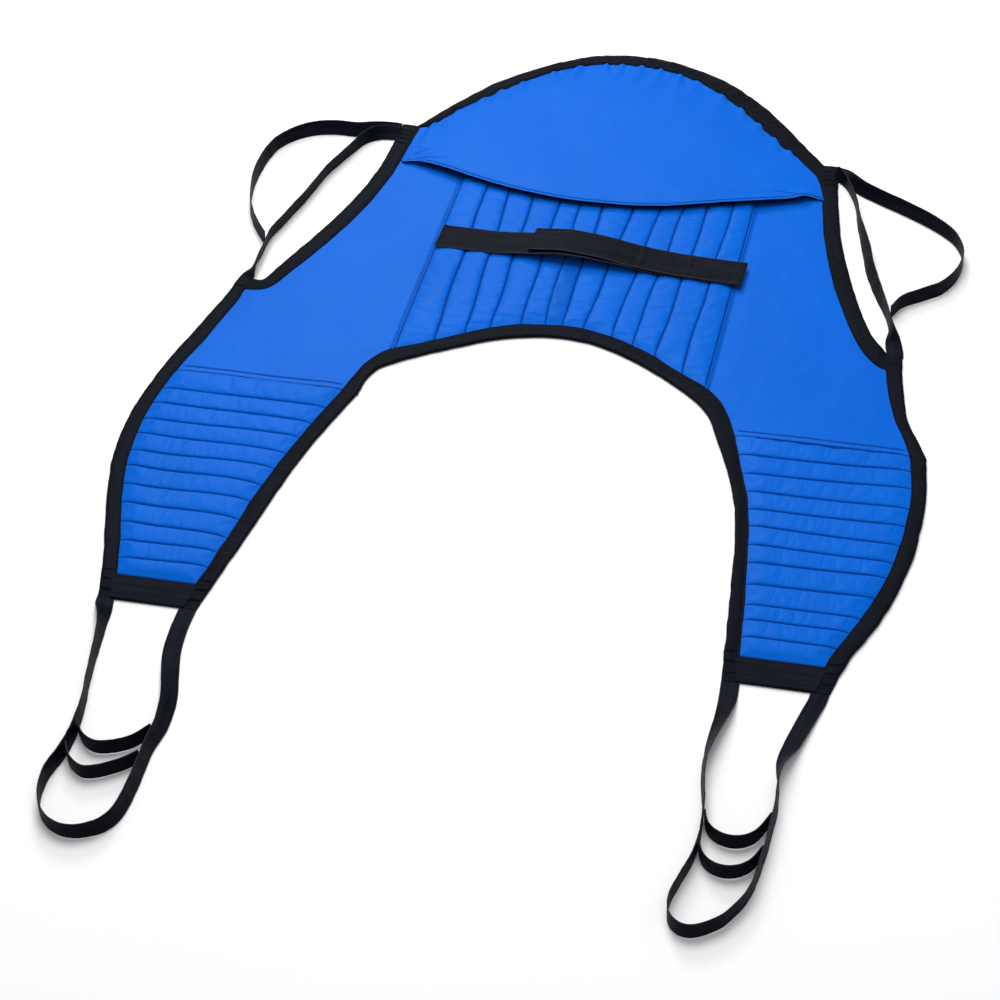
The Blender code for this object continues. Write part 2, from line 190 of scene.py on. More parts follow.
class Look:
    """A material in the making, with short ways to add nodes to it."""

    def __init__(self, name):
        self.made = bpy.data.materials.new(name)
        self.made.use_nodes = True
        self.tree = self.made.node_tree
        self.shader = self.tree.nodes["Principled BSDF"]
        self.place = self.node("ShaderNodeTexCoord").outputs["Object"]

    def node(self, kind, **settings):
        made = self.tree.nodes.new(kind)
        for key, value in settings.items():
            if key in made.inputs.keys():
                made.inputs[key].default_value = value
            else:
                setattr(made, key, value)
        return made

    def feed(self, socket, value):
        """Links a node's output to an input, or sets the input to a plain value."""
        if isinstance(value, bpy.types.NodeSocket):
            self.tree.links.new(value, socket)
        else:
            socket.default_value = value

    def noise(self, scale, detail, roughness=0.5, vector=None):
        made = self.node("ShaderNodeTexNoise", Scale=scale, Detail=detail, Roughness=roughness)
        self.feed(made.inputs["Vector"], self.place if vector is None else vector)
        return made.outputs["Fac"]

    def bands(self, vector, direction, period):
        """A sine of the given period along X or Y of a vector, from 0 to 1."""
        made = self.node("ShaderNodeTexWave", bands_direction=direction, Scale=WAVE_SCALE / period)
        self.feed(made.inputs["Vector"], vector)
        return made.outputs["Fac"]

    def attribute(self, name, output):
        return self.node("ShaderNodeAttribute", attribute_name=name).outputs[output]

    def mix(self, factor, a, b):
        made = self.node("ShaderNodeMix", data_type="RGBA")
        for slot, value in ((0, factor), (6, a), (7, b)):
            self.feed(made.inputs[slot], value)
        return made.outputs[2]

    def maths(self, operation, a, b=0.0, clamp=False):
        made = self.node("ShaderNodeMath", operation=operation, use_clamp=clamp)
        self.feed(made.inputs[0], a)
        self.feed(made.inputs[1], b)
        return made.outputs[0]

    def times(self, a, b, clamp=False):
        return self.maths("MULTIPLY", a, b, clamp)

    def bumps(self, *layers):
        """Bumps in a chain: each layer is (height socket, strength, distance)."""
        last = None
        for height, strength, distance in layers:
            bump = self.node("ShaderNodeBump", Strength=strength, Distance=distance)
            self.feed(bump.inputs["Height"], height)
            if last:
                self.feed(bump.inputs["Normal"], last)
            last = bump.outputs["Normal"]
        self.feed(self.shader.inputs["Normal"], last)

    def finish(self, **values):
        for key, value in values.items():
            self.feed(self.shader.inputs[key.replace("_", " ")], value)
        return self.made


def blue_polyester(name, deep, bright):
    """Satin-woven polyester: fine crossing yarns and soft tone changes.

    Light and shade are painted into the colour by a vertex attribute: 0 on plain fabric, 1 for painted shade
    in a seam's groove, 2 for a painted shadow under an edge, and below 0 for a painted highlight on the lit
    edge of piping.
    """
    look = Look(name)
    grain = look.noise(700.0, 2.0, 0.6)
    tone = look.mix(look.noise(5.0, 3.0), deep, bright)
    fleck = look.mix(look.times(grain, 0.16), tone, (0.003, 0.15, 0.70, 1.0))
    painted_shading = look.attribute("painted_shading", "Fac")
    # Painted shade in the seams, a painted highlight on piping, and a painted shadow under edges.
    shaded = look.mix(look.times(painted_shading, 0.92, clamp=True), fleck, (0.0006, 0.007, 0.110, 1.0))
    with_painted_highlight = look.mix(look.times(painted_shading, -1.0, clamp=True), shaded, (0.010, 0.34, 1.0, 1.0))
    under = look.mix(look.maths("SUBTRACT", painted_shading, 1.0, clamp=True), with_painted_highlight, (0.0005, 0.0006, 0.0030, 1.0))
    weave = look.times(look.bands(look.place, "X", 0.0009), look.bands(look.place, "Y", 0.0011))
    look.bumps((look.noise(45.0, 4.0, 0.55), 0.35, 0.0012), (weave, 0.30, 0.00010))
    return look.finish(
        Base_Color=under,
        Roughness=look.maths("ADD", look.times(grain, 0.10), 0.40),
        Specular_IOR_Level=0.07,
        Specular_Tint=(0.05, 0.55, 1.0, 1.0),
    )


def black_webbing(name, base, worn, rib, edge_bump):
    """Woven tape: weft ribs across it, warp lines along it, worn streaks, and a painted highlight on the
    selvedges.

    The lay attribute holds the distances along and across the tape, and the share of the way to a selvedge.
    """
    look = Look(name)
    lay = look.attribute("lay", "Vector")
    broad, grain = look.noise(16.0, 4.0, 0.6), look.noise(900.0, 2.0, 0.7)
    stretched = look.node("ShaderNodeVectorMath", operation="MULTIPLY")
    look.feed(stretched.inputs[0], lay)
    look.feed(stretched.inputs[1], (9.0, 110.0, 0.0))
    streaks = look.noise(1.0, 2.0, vector=stretched.outputs[0])
    ribs, warp = look.bands(lay, "X", rib), look.bands(lay, "Y", 0.0026)
    spread = look.times(look.maths("SUBTRACT", streaks, 0.38), 3.2, clamp=True)
    tone = look.mix(look.times(spread, look.maths("ADD", broad, 0.35)), base, worn)
    fleck = look.mix(look.times(grain, 0.25), tone, (0.017, 0.019, 0.028, 1.0))
    lines = look.mix(look.times(warp, 0.30), fleck, (0.0012, 0.0012, 0.0020, 1.0))
    split = look.node("ShaderNodeSeparateXYZ")
    look.feed(split.inputs[0], lay)
    # Painted highlight: the outer tenth of the width on each side is lightened towards pale blue-grey.
    rim = look.maths("SUBTRACT", look.maths("ABSOLUTE", split.outputs["Z"]), 0.90)
    rim = look.times(look.times(rim, 14.0, clamp=True), 0.75)
    look.bumps((broad, 0.25, 0.0015), (warp, 0.30, edge_bump), (ribs, 0.45, 0.00018), (grain, 0.20, 0.00008))
    return look.finish(
        Base_Color=look.mix(rim, lines, (0.030, 0.033, 0.046, 1.0)),
        Roughness=look.maths("ADD", look.times(grain, 0.18), 0.46),
        Sheen_Weight=0.01,
        Sheen_Roughness=0.35,
        Sheen_Tint=(0.45, 0.60, 1.0, 1.0),
        Specular_IOR_Level=0.045,
        Specular_Tint=(0.50, 0.64, 1.0, 1.0),
    )


def thread(name, dark, light):
    """Twisted polyester sewing thread."""
    look = Look(name)
    twist = look.noise(1500.0, 2.0)
    look.bumps((twist, 0.3, 0.0001))
    return look.finish(Base_Color=look.mix(twist, dark, light), Roughness=0.6, Specular_IOR_Level=0.10)


def pale_floor():
    look = Look("pale_floor")
    tone = look.mix(look.noise(1.5, 2.0), (0.93, 0.93, 0.93, 1.0), (0.95, 0.95, 0.95, 1.0))
    return look.finish(Base_Color=tone, Roughness=0.9, Specular_IOR_Level=0.1)


# Each look's material and a slot name, which the script does not use.
LOOKS = {
    "blue": (
        blue_polyester("blue_polyester_satin", (0.0008, 0.088, 0.500, 1.0), (0.0016, 0.120, 0.610, 1.0)),
        "blue_polyester",
    ),
    "tape": (
        black_webbing("black_binding_tape", (0.0006, 0.0007, 0.0020, 1.0), (0.0034, 0.0040, 0.0078, 1.0),
                      rib=0.0011, edge_bump=0.00006),
        "black_webbing",
    ),
    "webbing": (
        black_webbing("black_strap_webbing", (0.0008, 0.0009, 0.0024, 1.0), (0.0070, 0.0078, 0.0135, 1.0),
                      rib=0.0014, edge_bump=0.00012),
        "black_webbing",
    ),
    "blue_thread": (
        thread("navy_thread", (0.0004, 0.0030, 0.080, 1.0), (0.0008, 0.012, 0.200, 1.0)), "blue_polyester",
    ),
    "black_thread": (
        thread("black_thread", (0.010, 0.011, 0.017, 1.0), (0.036, 0.040, 0.058, 1.0)), "black_webbing",
    ),
}


# ---------------------------------------------------------------- meshes

def build(name, verts, faces, look, closed=True, lay=None, painted_shading=None):
    """A smooth-shaded mesh object in one of the looks, with its attributes."""
    mesh = bpy.data.meshes.new(name)
    mesh.from_pydata([tuple(map(float, v)) for v in verts], [], faces)
    if closed:
        bm = bmesh.new()
        bm.from_mesh(mesh)
        bmesh.ops.recalc_face_normals(bm, faces=bm.faces)
        bm.to_mesh(mesh)
        bm.free()
    mesh.shade_smooth()
    for key, kind, field, values in (("lay", "FLOAT_VECTOR", "vector", lay), ("painted_shading", "FLOAT", "value", painted_shading)):
        if values is not None:
            held = mesh.attributes.new(key, kind, "POINT")
            held.data.foreach_set(field, np.asarray(values, np.float32).ravel())
    material, slot = LOOKS[look]
    mesh.materials.append(material)
    made = bpy.data.objects.new(name, mesh)
    bpy.context.scene.collection.objects.link(made)
    return made


def sharpen(mesh, is_sharp):
    """Shades the chosen edges of a smooth mesh sharp."""
    bm = bmesh.new()
    bm.from_mesh(mesh)
    for edge in bm.edges:
        if is_sharp(edge):
            edge.smooth = False
    bm.to_mesh(mesh)
    bm.free()


def face_up(mesh):
    if sum(p.normal.z for p in mesh.polygons) < 0:
        mesh.flip_normals()


def grid_faces(rows, columns, offset=0, flip=False):
    faces = []
    for i in range(rows - 1):
        for j in range(columns - 1):
            a = offset + i * columns + j
            quad = (a, a + columns, a + columns + 1, a + 1)
            faces.append(quad[::-1] if flip else quad)
    return faces


def world(x, s, z):
    return np.stack([x, HEAD_Y - s, z], -1)


def world_rows(rows):
    return world(rows[..., 0], rows[..., 1], rows[..., 2])


def sheet_mesh(name, verts, faces, thick, painted_shading=None):
    """An open sheet of cloth that faces up, given its thickness by Solidify, its border shaded sharp."""
    made = build(name, verts, faces, "blue", closed=False, painted_shading=painted_shading)
    face_up(made.data)
    sharpen(made.data, lambda edge: edge.is_boundary)
    wall = made.modifiers.new("cloth_thickness", "SOLIDIFY")
    wall.thickness = thick
    wall.offset = -1
    return made


def grid_sheet(name, x, s, z, painted_shading=None):
    """A sheet from grids of x, s and z."""
    return sheet_mesh(name, world(x, s, z).reshape(-1, 3), grid_faces(*x.shape), CLOTH_THICK, painted_shading)


def pad_mesh(name, x, s, z, painted_shading):
    """A closed pad: the quilted top over a flat underside."""
    rows, columns = x.shape
    n = rows * columns
    top = world(x, s, z).reshape(-1, 3)
    under = world(x, s, np.full_like(z, 1.9 * MM)).reshape(-1, 3)
    faces = grid_faces(rows, columns) + grid_faces(rows, columns, n, flip=True)
    rim = [i * columns for i in range(rows)]
    rim += [(rows - 1) * columns + j for j in range(1, columns)]
    rim += [i * columns + columns - 1 for i in range(rows - 2, -1, -1)]
    rim += [j for j in range(columns - 2, 0, -1)]
    faces += [(a, b, b + n, a + n) for a, b in zip(rim, rim[1:] + rim[:1])]
    return build(name, np.concatenate([top, under]), faces, "blue", painted_shading=np.concatenate([painted_shading.ravel()] * 2))


def sweep(name, rings, look, lay, painted_shading=None):
    """A closed sweep through rings of points, capped at both ends, with the caps' edges sharp."""
    count, around = rings.shape[:2]
    last = (count - 1) * around
    faces = []
    for i in range(count - 1):
        for j in range(around):
            k = (j + 1) % around
            faces.append((i * around + j, i * around + k, (i + 1) * around + k, (i + 1) * around + j))
    faces.append(tuple(range(around))[::-1])
    faces.append(tuple(last + j for j in range(around)))
    made = build(name, rings.reshape(-1, 3), faces, look, lay=lay.reshape(-1, 3), painted_shading=painted_shading)
    caps = set(range(around)) | set(range(last, count * around))
    sharpen(made.data, lambda edge: all(v.index in caps for v in edge.verts)
            and any(len(f.verts) == around for f in edge.link_faces))
    return made


def tape_sweep(name, look, start, across, profiles, along, unit=1.0):
    """Sweeps cross-sections, each rows of (across, height), along an edge; unit is metres to 1 across."""
    profiles = np.array(profiles)
    u, z = profiles[..., 0], profiles[..., 1]
    plan = start[:, None] + across[:, None] * u[..., None]
    rings = world(plan[..., 0], plan[..., 1], z)
    lay = np.stack([np.broadcast_to(along[:, None], u.shape), u * unit, 0 * u], -1)
    return sweep(name, rings, look, lay), rings


class Stitching:
    """Short raised stitches, gathered into one mesh."""

    def __init__(self):
        self.verts, self.faces = [], []

    def row(self, path, long=3.2 * MM, gap=1.3 * MM, thick=0.55 * MM, lift=0.15 * MM):
        path = np.asarray(path, float)
        at = lengths(path)
        spot = gap
        while spot + long < at[-1]:
            a = np.array([np.interp(spot, at, path[:, k]) for k in range(3)])
            b = np.array([np.interp(spot + long, at, path[:, k]) for k in range(3)])
            self.stitch(a, b, thick, lift)
            spot += long + gap

    def stitch(self, a, b, thick, lift):
        along = b - a
        size = np.linalg.norm(along)
        if size < 1e-6:
            return
        along /= size
        side = np.cross(along, (0, 0, 1.0))
        if np.linalg.norm(side) < 0.2:
            side = np.array([1.0, 0, 0])
        side /= np.linalg.norm(side)
        up = np.cross(side, along)
        first = len(self.verts)
        middle = (a + b) / 2 + up * lift
        self.verts.append(a - up * thick * 0.3)
        for share in (-0.28, 0.28):
            for u, v in ((1, 0), (0, 1), (-1, 0), (0, -1)):
                self.verts.append(middle + along * size * share + (side * u + up * v) * thick / 2)
        self.verts.append(b - up * thick * 0.3)
        for j in range(4):
            k = (j + 1) % 4
            self.faces.append((first, first + 1 + k, first + 1 + j))
            self.faces.append((first + 1 + j, first + 1 + k, first + 5 + k, first + 5 + j))
            self.faces.append((first + 9, first + 5 + j, first + 5 + k))

    def sew_on(self, name, thread_look, where):
        verts = np.array(self.verts)
        verts[:, 2] = np.maximum(verts[:, 2], STITCH_LOW)
        return attach(build(name, verts, self.faces, thread_look), where)


# ---------------------------------------------------------------- bodies

def at(s):
    return (0.0, HEAD_Y - s, 0.0)


# Crossings where a piece spans two bodies: the two bodies, and where the bend starts and ends.  Only the names
# are read here; a piece at a crossing is baked in place, not parented.
CROSSINGS = {
    "head": ("torso", "head_section", at(HEAD_FOLD_S), at(HEAD_FOLD_S - 0.024)),
    "pocket": ("torso", "pocket_free_edge", at(POCKET_FOLD_S), at(POCKET_FOLD_S + 0.030)),
    "thigh_left": ("torso", "thigh_left", at(THIGH_SEAM_S), at(THIGH_SEAM_S + 0.024)),
    "thigh_right": ("torso", "thigh_right", at(THIGH_SEAM_S), at(THIGH_SEAM_S + 0.024)),
    "loops_left": ("thigh_left", "leg_loops_left", at(LEG_END_S + 0.002), at(LEG_END_S + 0.030)),
    "loops_right": ("thigh_right", "leg_loops_right", at(LEG_END_S + 0.002), at(LEG_END_S + 0.030)),
}


def attach(piece, where, *nodes):
    """Rides on a body, or at one of the crossings is baked in place without a parent, and stands for its CAD
    nodes.
    """
    if where in CROSSINGS:
        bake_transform(piece)
    else:
        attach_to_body(piece, where)
    if nodes:
        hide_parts(*nodes)
    return piece


# ---------------------------------------------------------------- edges read from the CAD

loops = {name: outline(name) for name in frame["nodes"] if not any(
    part in name for part in ("loop", "shoulder_strap", "handle")
)}


def edges_of(node_name, outer_ends, inner_ends, pitch=0.0016):
    """A binding's outer and inner edges as evenly spaced lines with the same number of points."""
    loop = loops[node_name]
    outer = run(loop, outer_ends[0], outer_ends[1], inner_ends[0])
    inner = run(loop, inner_ends[0], inner_ends[1], outer_ends[0])
    count = max(12, int(max(lengths(outer)[-1], lengths(inner)[-1]) / pitch))
    return eased(resample(outer, count), 12), eased(resample(inner, count), 12)


BINDING_ENDS = {
    "head_binding": (((-0.352, 0.268), (0.336, 0.268)), ((-0.334, 0.268), (0.302, 0.268))),
    "arm_binding_left": (((-0.378, 0.268), (-0.507, 0.729)), ((-0.346, 0.268), (-0.507, 0.762))),
    "arm_binding_right": (((0.360, 0.268), (0.494, 0.742)), ((0.316, 0.268), (0.498, 0.789))),
    "hip_binding_left": (((-0.527, 0.729), (-0.576, 0.976)), ((-0.507, 0.762), (-0.551, 0.976))),
    "hip_binding_right": (((0.518, 0.742), (0.578, 0.976)), ((0.498, 0.789), (0.554, 0.976))),
    "crotch_binding": (((-0.266, 0.976), (0.271, 0.976)), ((-0.292, 0.976), (0.301, 0.976))),
    "thigh_outer_binding_left": (((-0.576, 0.976), (-0.506, 1.476)), ((-0.551, 0.976), (-0.482, 1.476))),
    "thigh_outer_binding_right": (((0.578, 0.976), (0.506, 1.476)), ((0.554, 0.976), (0.481, 1.476))),
    "thigh_inner_binding_left": (((-0.266, 0.976), (-0.363, 1.476)), ((-0.292, 0.976), (-0.388, 1.476))),
    "thigh_inner_binding_right": (((0.271, 0.976), (0.362, 1.476)), ((0.301, 0.976), (0.387, 1.476))),
}
EDGES = {name: edges_of(name, *ends) for name, ends in BINDING_ENDS.items()}


def x_on(points, s):
    """Where a line whose s only grows crosses a station, as x."""
    order = np.argsort(points[:, 1], kind="stable")
    return np.interp(s, points[order, 1], points[order, 0])


def s_on(points, x):
    order = np.argsort(points[:, 0], kind="stable")
    return np.interp(x, points[order, 0], points[order, 1])


# ---------------------------------------------------------------- bindings

FOLD_LINE = 10     # the point of a cross-section where the tape's inner edge is sewn down


def binding_profile(width, outer_high, inner_high, rib):
    """One cross-section of folded tape: (distance from the outer edge, height), going round."""
    def h(share):
        return outer_high + (inner_high - outer_high) * share

    w = width
    return [
        (0.0 * MM, 0.46 * h(0)), (0.35 * MM, 0.74 * h(0)), (1.2 * MM, 0.90 * h(0) - 0.3 * rib),
        (2.6 * MM, 0.98 * h(0.1) - 0.8 * rib), (0.25 * w, 1.03 * h(0.25) - rib), (0.40 * w, 1.01 * h(0.4) - rib),
        (0.55 * w, 0.97 * h(0.55) - 0.9 * rib), (0.70 * w, 0.93 * h(0.7) - 0.8 * rib),
        (w - 5.2 * MM, 0.90 * h(0.85) - 0.8 * rib), (w - 3.9 * MM, 0.85 * h(0.9) - 0.5 * rib),
        (w - 3.2 * MM, 0.72 * h(0.9)), (w - 2.5 * MM, 0.82 * h(0.95)),
        (w - 1.2 * MM, 0.86 * h(1)), (w - 0.3 * MM, 0.81 * h(1)), (w, 0.70 * h(1)), (w - 0.3 * MM, 0.50 * h(1)),
        (w - 0.4 * MM, 2 * FLOOR_GAP), (w - 3.0 * MM, FLOOR_GAP), (0.5 * w, FLOOR_GAP), (2.4 * MM, FLOOR_GAP),
        (0.9 * MM, 0.7 * MM), (0.25 * MM, 1.5 * MM),
    ]


def rib_depth(distance, total, seed, tacks=()):
    """Puckers across the tape at uneven spacing, and sharper ones with raised sides at the bar tacks."""
    draw = np.random.default_rng(seed)
    depth = np.zeros_like(distance)
    spot = 0.012
    while spot < total - 0.010:
        deep, broad = draw.uniform(0.20, 0.90) * MM * draw.uniform(0.4, 1.0), draw.uniform(2.2, 5.0) * MM
        depth += deep * bell(distance, spot, broad)
        depth -= 0.55 * deep * bell(distance - spot, 2.2 * broad, 1.3 * broad)
        spot += draw.uniform(0.012, 0.030)
    for spot in tacks:
        gap = abs(distance - spot)
        depth += 2.2 * MM * bell(gap, 0, 1.5 * MM) - 0.7 * MM * bell(gap, 4.0 * MM, 1.8 * MM)
    return depth


def binding(name, outer, inner, where, outer_high, inner_high, seed, tacks=(), scallop=0.0):
    """Tape folded over an edge.  Heights and scallop may be arrays, one value for each station."""
    count = len(outer)
    along = (lengths(outer) + lengths(inner)) / 2
    still = step_between(np.minimum(along, along[-1] - along), 0.002, 0.016)
    ripple = wave(along, along * 0, seed, 0.030) * still
    drift = wave(along, along * 0 + 5, seed + 20, 0.050) * still
    rib = rib_depth(along, along[-1], seed, tacks) * still
    across = inner - outer
    across /= np.linalg.norm(across, axis=1)[:, None]
    start = outer - across * (0.9 * ripple * MM + 0.35 * rib * ripple)[:, None]
    end = inner + across * (1.1 * drift * MM)[:, None]
    end = end + across * np.broadcast_to(scallop, (count,))[:, None]
    width = np.linalg.norm(end - start, axis=1)
    outer_high = np.broadcast_to(outer_high, (count,)) * (1 + 0.10 * ripple)
    inner_high = np.broadcast_to(inner_high, (count,)) * (1 + 0.08 * drift)
    profiles = [binding_profile(*station) for station in zip(width, outer_high, inner_high, rib)]
    made, rings = tape_sweep(name, "tape", start, across, profiles, along)
    attach(made, where, name)
    sewn = Stitching()
    sewn.row(rings[:, FOLD_LINE], lift=0.25 * MM)
    for spot in tacks:
        i = int(np.argmin(abs(along - spot)))
        u = np.linspace(2.0 * MM, width[i] - 2.0 * MM, 12)
        z = np.interp(u, *zip(*profiles[i][2:14]))
        place = start[i] + across[i] * u[:, None]
        sewn.row(world(place[:, 0], place[:, 1], z), long=2.2 * MM, gap=0.8 * MM)
    sewn.sew_on(f"{name}_stitching", "black_thread", where)


# Where the head's fabric is caught down under the gathered tape, as x.
CUSPS = [-0.327, -0.296, -0.262, -0.238, -0.206, -0.160, -0.118, -0.074, -0.046, -0.012, 0.022, 0.058, 0.092,
         0.140, 0.178, 0.215, 0.246, 0.276]


def gather(x):
    """How far the gathered tape stands into the fabric at a place across the head: 0 at a cusp, 1 between."""
    edges = np.array(CUSPS)
    k = np.clip(np.searchsorted(edges, x) - 1, 0, len(edges) - 2)
    share = np.clip((x - edges[k]) / (edges[k + 1] - edges[k]), 0, 1)
    return np.sqrt(np.clip(np.sin(np.pi * share), 0, 1))


def head_heights(x):
    """The head tape's inner height: highest over the apex, low at the shoulder corners."""
    return (6.0 + 5.5 * np.exp(-((x / 0.24) ** 4))) * MM


def extended(outer, inner, before=0.0, after=0.0):
    """A binding's two edges carried on straight past either end, by the same number of points each."""
    pitch = lengths(outer)[-1] / (len(outer) - 1)
    made = []
    for edge in (outer, inner):
        first = (edge[0] - edge[7]) / np.linalg.norm(edge[0] - edge[7])
        last = (edge[-1] - edge[-8]) / np.linalg.norm(edge[-1] - edge[-8])
        ahead = np.arange(int(before / pitch), 0, -1)[:, None]
        behind = np.arange(1, int(after / pitch) + 1)[:, None]
        made.append(np.concatenate([edge[0] + first * pitch * ahead, edge, edge[-1] + last * pitch * behind]))
    return made


HIP_CORNER = {"left": [(-0.5060, 0.730), (-0.5055, 0.746)], "right": [(0.4955, 0.744), (0.4962, 0.766)]}
HEAD_TAIL = (
    [(0.341, 0.290), (0.345, 0.318), (0.349, 0.345), (0.352, 0.366)],
    [(0.3225, 0.294), (0.3350, 0.319), (0.3425, 0.343), (0.3465, 0.364)],
)


def build_head_binding():
    # On the right the head tape runs on under the arm tape's inner edge, narrowing to the pocket's corner.
    outer, inner = (
        np.concatenate([edge, catmull([edge[-1], *tail], 14)[1:]])
        for edge, tail in zip(EDGES["head_binding"], HEAD_TAIL)
    )
    push = bell(outer[:, 0], 0.215, 0.100) * 0.0045
    outer = outer + np.stack([push * 0.8, -push * 0.6], 1)
    x = inner[:, 0]
    beyond = step_between(inner[:, 1] - 0.262, 0.0, 0.03) * (x > 0)
    fade = step_between(x, -0.334, -0.300) * (1 - step_between(x, 0.275, 0.302))
    scallop = (gather(x) * 7.0 * MM - 4.0 * MM) * fade
    binding("head_binding", outer, inner, "head", 6.4 * MM - 1.8 * MM * beyond,
            head_heights(x) - 0.9 * MM * beyond, seed=3, scallop=scallop)


def build_bindings():
    build_head_binding()
    for side in SIDES:
        arm = extended(*EDGES[f"arm_binding_{side}"], after=0.008)
        low = 1 - 0.42 * step_between(np.linspace(0, 1, len(arm[0])), 0.94, 0.99)
        binding(f"arm_binding_{side}", *arm, "torso", 6.3 * MM * low, 5.9 * MM * low, seed=11 + SIGN[side],
                tacks=(0.007, 0.019, 0.031, 0.043, 0.056))
        outer, inner = extended(*EDGES[f"hip_binding_{side}"], after=0.006)
        corner = catmull([*HIP_CORNER[side], tuple(inner[0])], 8)[:-1]
        inner = resample(np.concatenate([corner, inner]), len(outer))
        low = 1 - 0.38 * (1 - step_between(lengths(outer), 0.002, 0.022))
        binding(f"hip_binding_{side}", outer, inner, "torso", 5.8 * MM * low, 5.6 * MM * low,
                seed=21 + SIGN[side], tacks=(0.012, 0.026))
        for place in ("outer", "inner"):
            outer, inner = EDGES[f"thigh_{place}_binding_{side}"]
            total = lengths(outer)[-1]
            taper = 1 - 0.48 * step_between(np.linspace(0, 1, len(outer)), 0.88, 0.99)
            binding(f"thigh_{place}_binding_{side}", outer, inner, f"thigh_{side}", 5.8 * MM * taper,
                    5.4 * MM * taper, seed=31 + 3 * SIGN[side] + len(place),
                    tacks=(total - 0.054, total - 0.036, total - 0.016))
    crotch = extended(*EDGES["crotch_binding"], before=0.006, after=0.006)
    binding("crotch_binding", *crotch, "torso", 5.8 * MM, 5.4 * MM, seed=43)


# ---------------------------------------------------------------- quilted pads

# Lines of stitching: across the back at two stations, and at the outer and inner edge of each leg.
BACK_LINES = {
    0.45: (-0.240, -0.195, -0.155, -0.115, -0.070, -0.035, 0.002, 0.050, 0.093, 0.130, 0.168, 0.207, 0.240),
    0.65: (-0.240, -0.190, -0.148, -0.110, -0.065, -0.030, 0.000, 0.040, 0.085, 0.120, 0.160, 0.203, 0.240),
}
THIGH_LINES = {
    "left": (
        (0.976, 1.0225, 1.057, 1.096, 1.129, 1.168, 1.201, 1.242, 1.281, 1.321, 1.360, 1.396, 1.427),
        (0.976, 1.0230, 1.062, 1.097, 1.136, 1.171, 1.211, 1.247, 1.288, 1.329, 1.360, 1.392, 1.427),
    ),
    "right": (
        (0.976, 1.010, 1.048, 1.092, 1.130, 1.172, 1.209, 1.240, 1.284, 1.328, 1.357, 1.391, 1.427),
        (0.976, 1.018, 1.058, 1.096, 1.133, 1.168, 1.207, 1.244, 1.288, 1.328, 1.358, 1.391, 1.427),
    ),
}
CHANNELS = 12
SHARES = (0.0, 0.025, 0.06, 0.13, 0.24, 0.37, 0.50, 0.63, 0.76, 0.87, 0.94, 0.975)
SEWN_Z = 7.1 * MM
CREST_Z = 8.8 * MM
EDGE_Z = 3.6 * MM

CLOTH = {
    "quality": 4, "mass": 0.2, "tension_stiffness": 15, "compression_stiffness": 15, "shear_stiffness": 5,
    "bending_stiffness": 0.01, "tension_damping": 5, "compression_damping": 5, "shear_damping": 5,
    "air_damping": 5, "use_pressure": True, "uniform_pressure_force": 0.5,
}
SETTLE_FRAMES = 12
SETTLE_CAP = np.array((1.6, 1.6, 1.2)) * MM


def settle(x, s, z, pinned, grow):
    """Lets a sewn grid of fabric swell and wrinkle between its stitching, by cloth simulation.

    The fabric is cut a little larger than the frame it is sewn to (grow), so it buckles between the pinned
    points.  No point moves further than the cap.
    """
    rows, columns = x.shape
    start = world(x, s, z).reshape(-1, 3)
    mesh = bpy.data.meshes.new("settling")
    mesh.from_pydata([tuple(map(float, v)) for v in start], [], grid_faces(rows, columns))
    face_up(mesh)
    cloth = bpy.data.objects.new("settling", mesh)
    scene = bpy.context.scene
    scene.collection.objects.link(cloth)
    sewn = cloth.vertex_groups.new(name="sewn")
    sewn.add([int(i) for i in np.flatnonzero(pinned.ravel())], 1.0, "REPLACE")
    modifier = cloth.modifiers.new("cloth", "CLOTH")
    fabric = modifier.settings
    for key, value in CLOTH.items():
        setattr(fabric, key, value)
    fabric.vertex_group_mass = "sewn"
    fabric.shrink_min = -grow
    fabric.effector_weights.gravity = 0
    modifier.point_cache.frame_start, modifier.point_cache.frame_end = 1, SETTLE_FRAMES
    for frame_number in range(1, SETTLE_FRAMES + 1):
        scene.frame_set(frame_number)
    shaped = cloth.evaluated_get(bpy.context.evaluated_depsgraph_get())
    end = np.empty(len(start) * 3, np.float32)
    shaped.data.vertices.foreach_get("co", end)
    moved = np.clip(end.reshape(-1, 3) - start, -SETTLE_CAP, SETTLE_CAP).reshape(rows, columns, 3)
    bpy.data.objects.remove(cloth)
    bpy.data.meshes.remove(mesh)
    scene.frame_set(1)
    return x + moved[..., 0], s - moved[..., 1], z + moved[..., 2]


def channel_steps():
    """Positions in channel numbers, closely spaced beside each line of stitching."""
    return np.array([i + share for i in range(CHANNELS) for share in SHARES] + [float(CHANNELS)])


def from_stitching(steps):
    """The share of the way across a channel, and the share to its nearer line of stitching."""
    share = steps - np.floor(steps + 1e-9)
    return share, np.minimum(share, 1 - share)


def sewn_down(steps, distance):
    """Which points are held by the stitching or by the pad's border."""
    return (from_stitching(steps)[1] < 0.02) | (distance < 0.006)


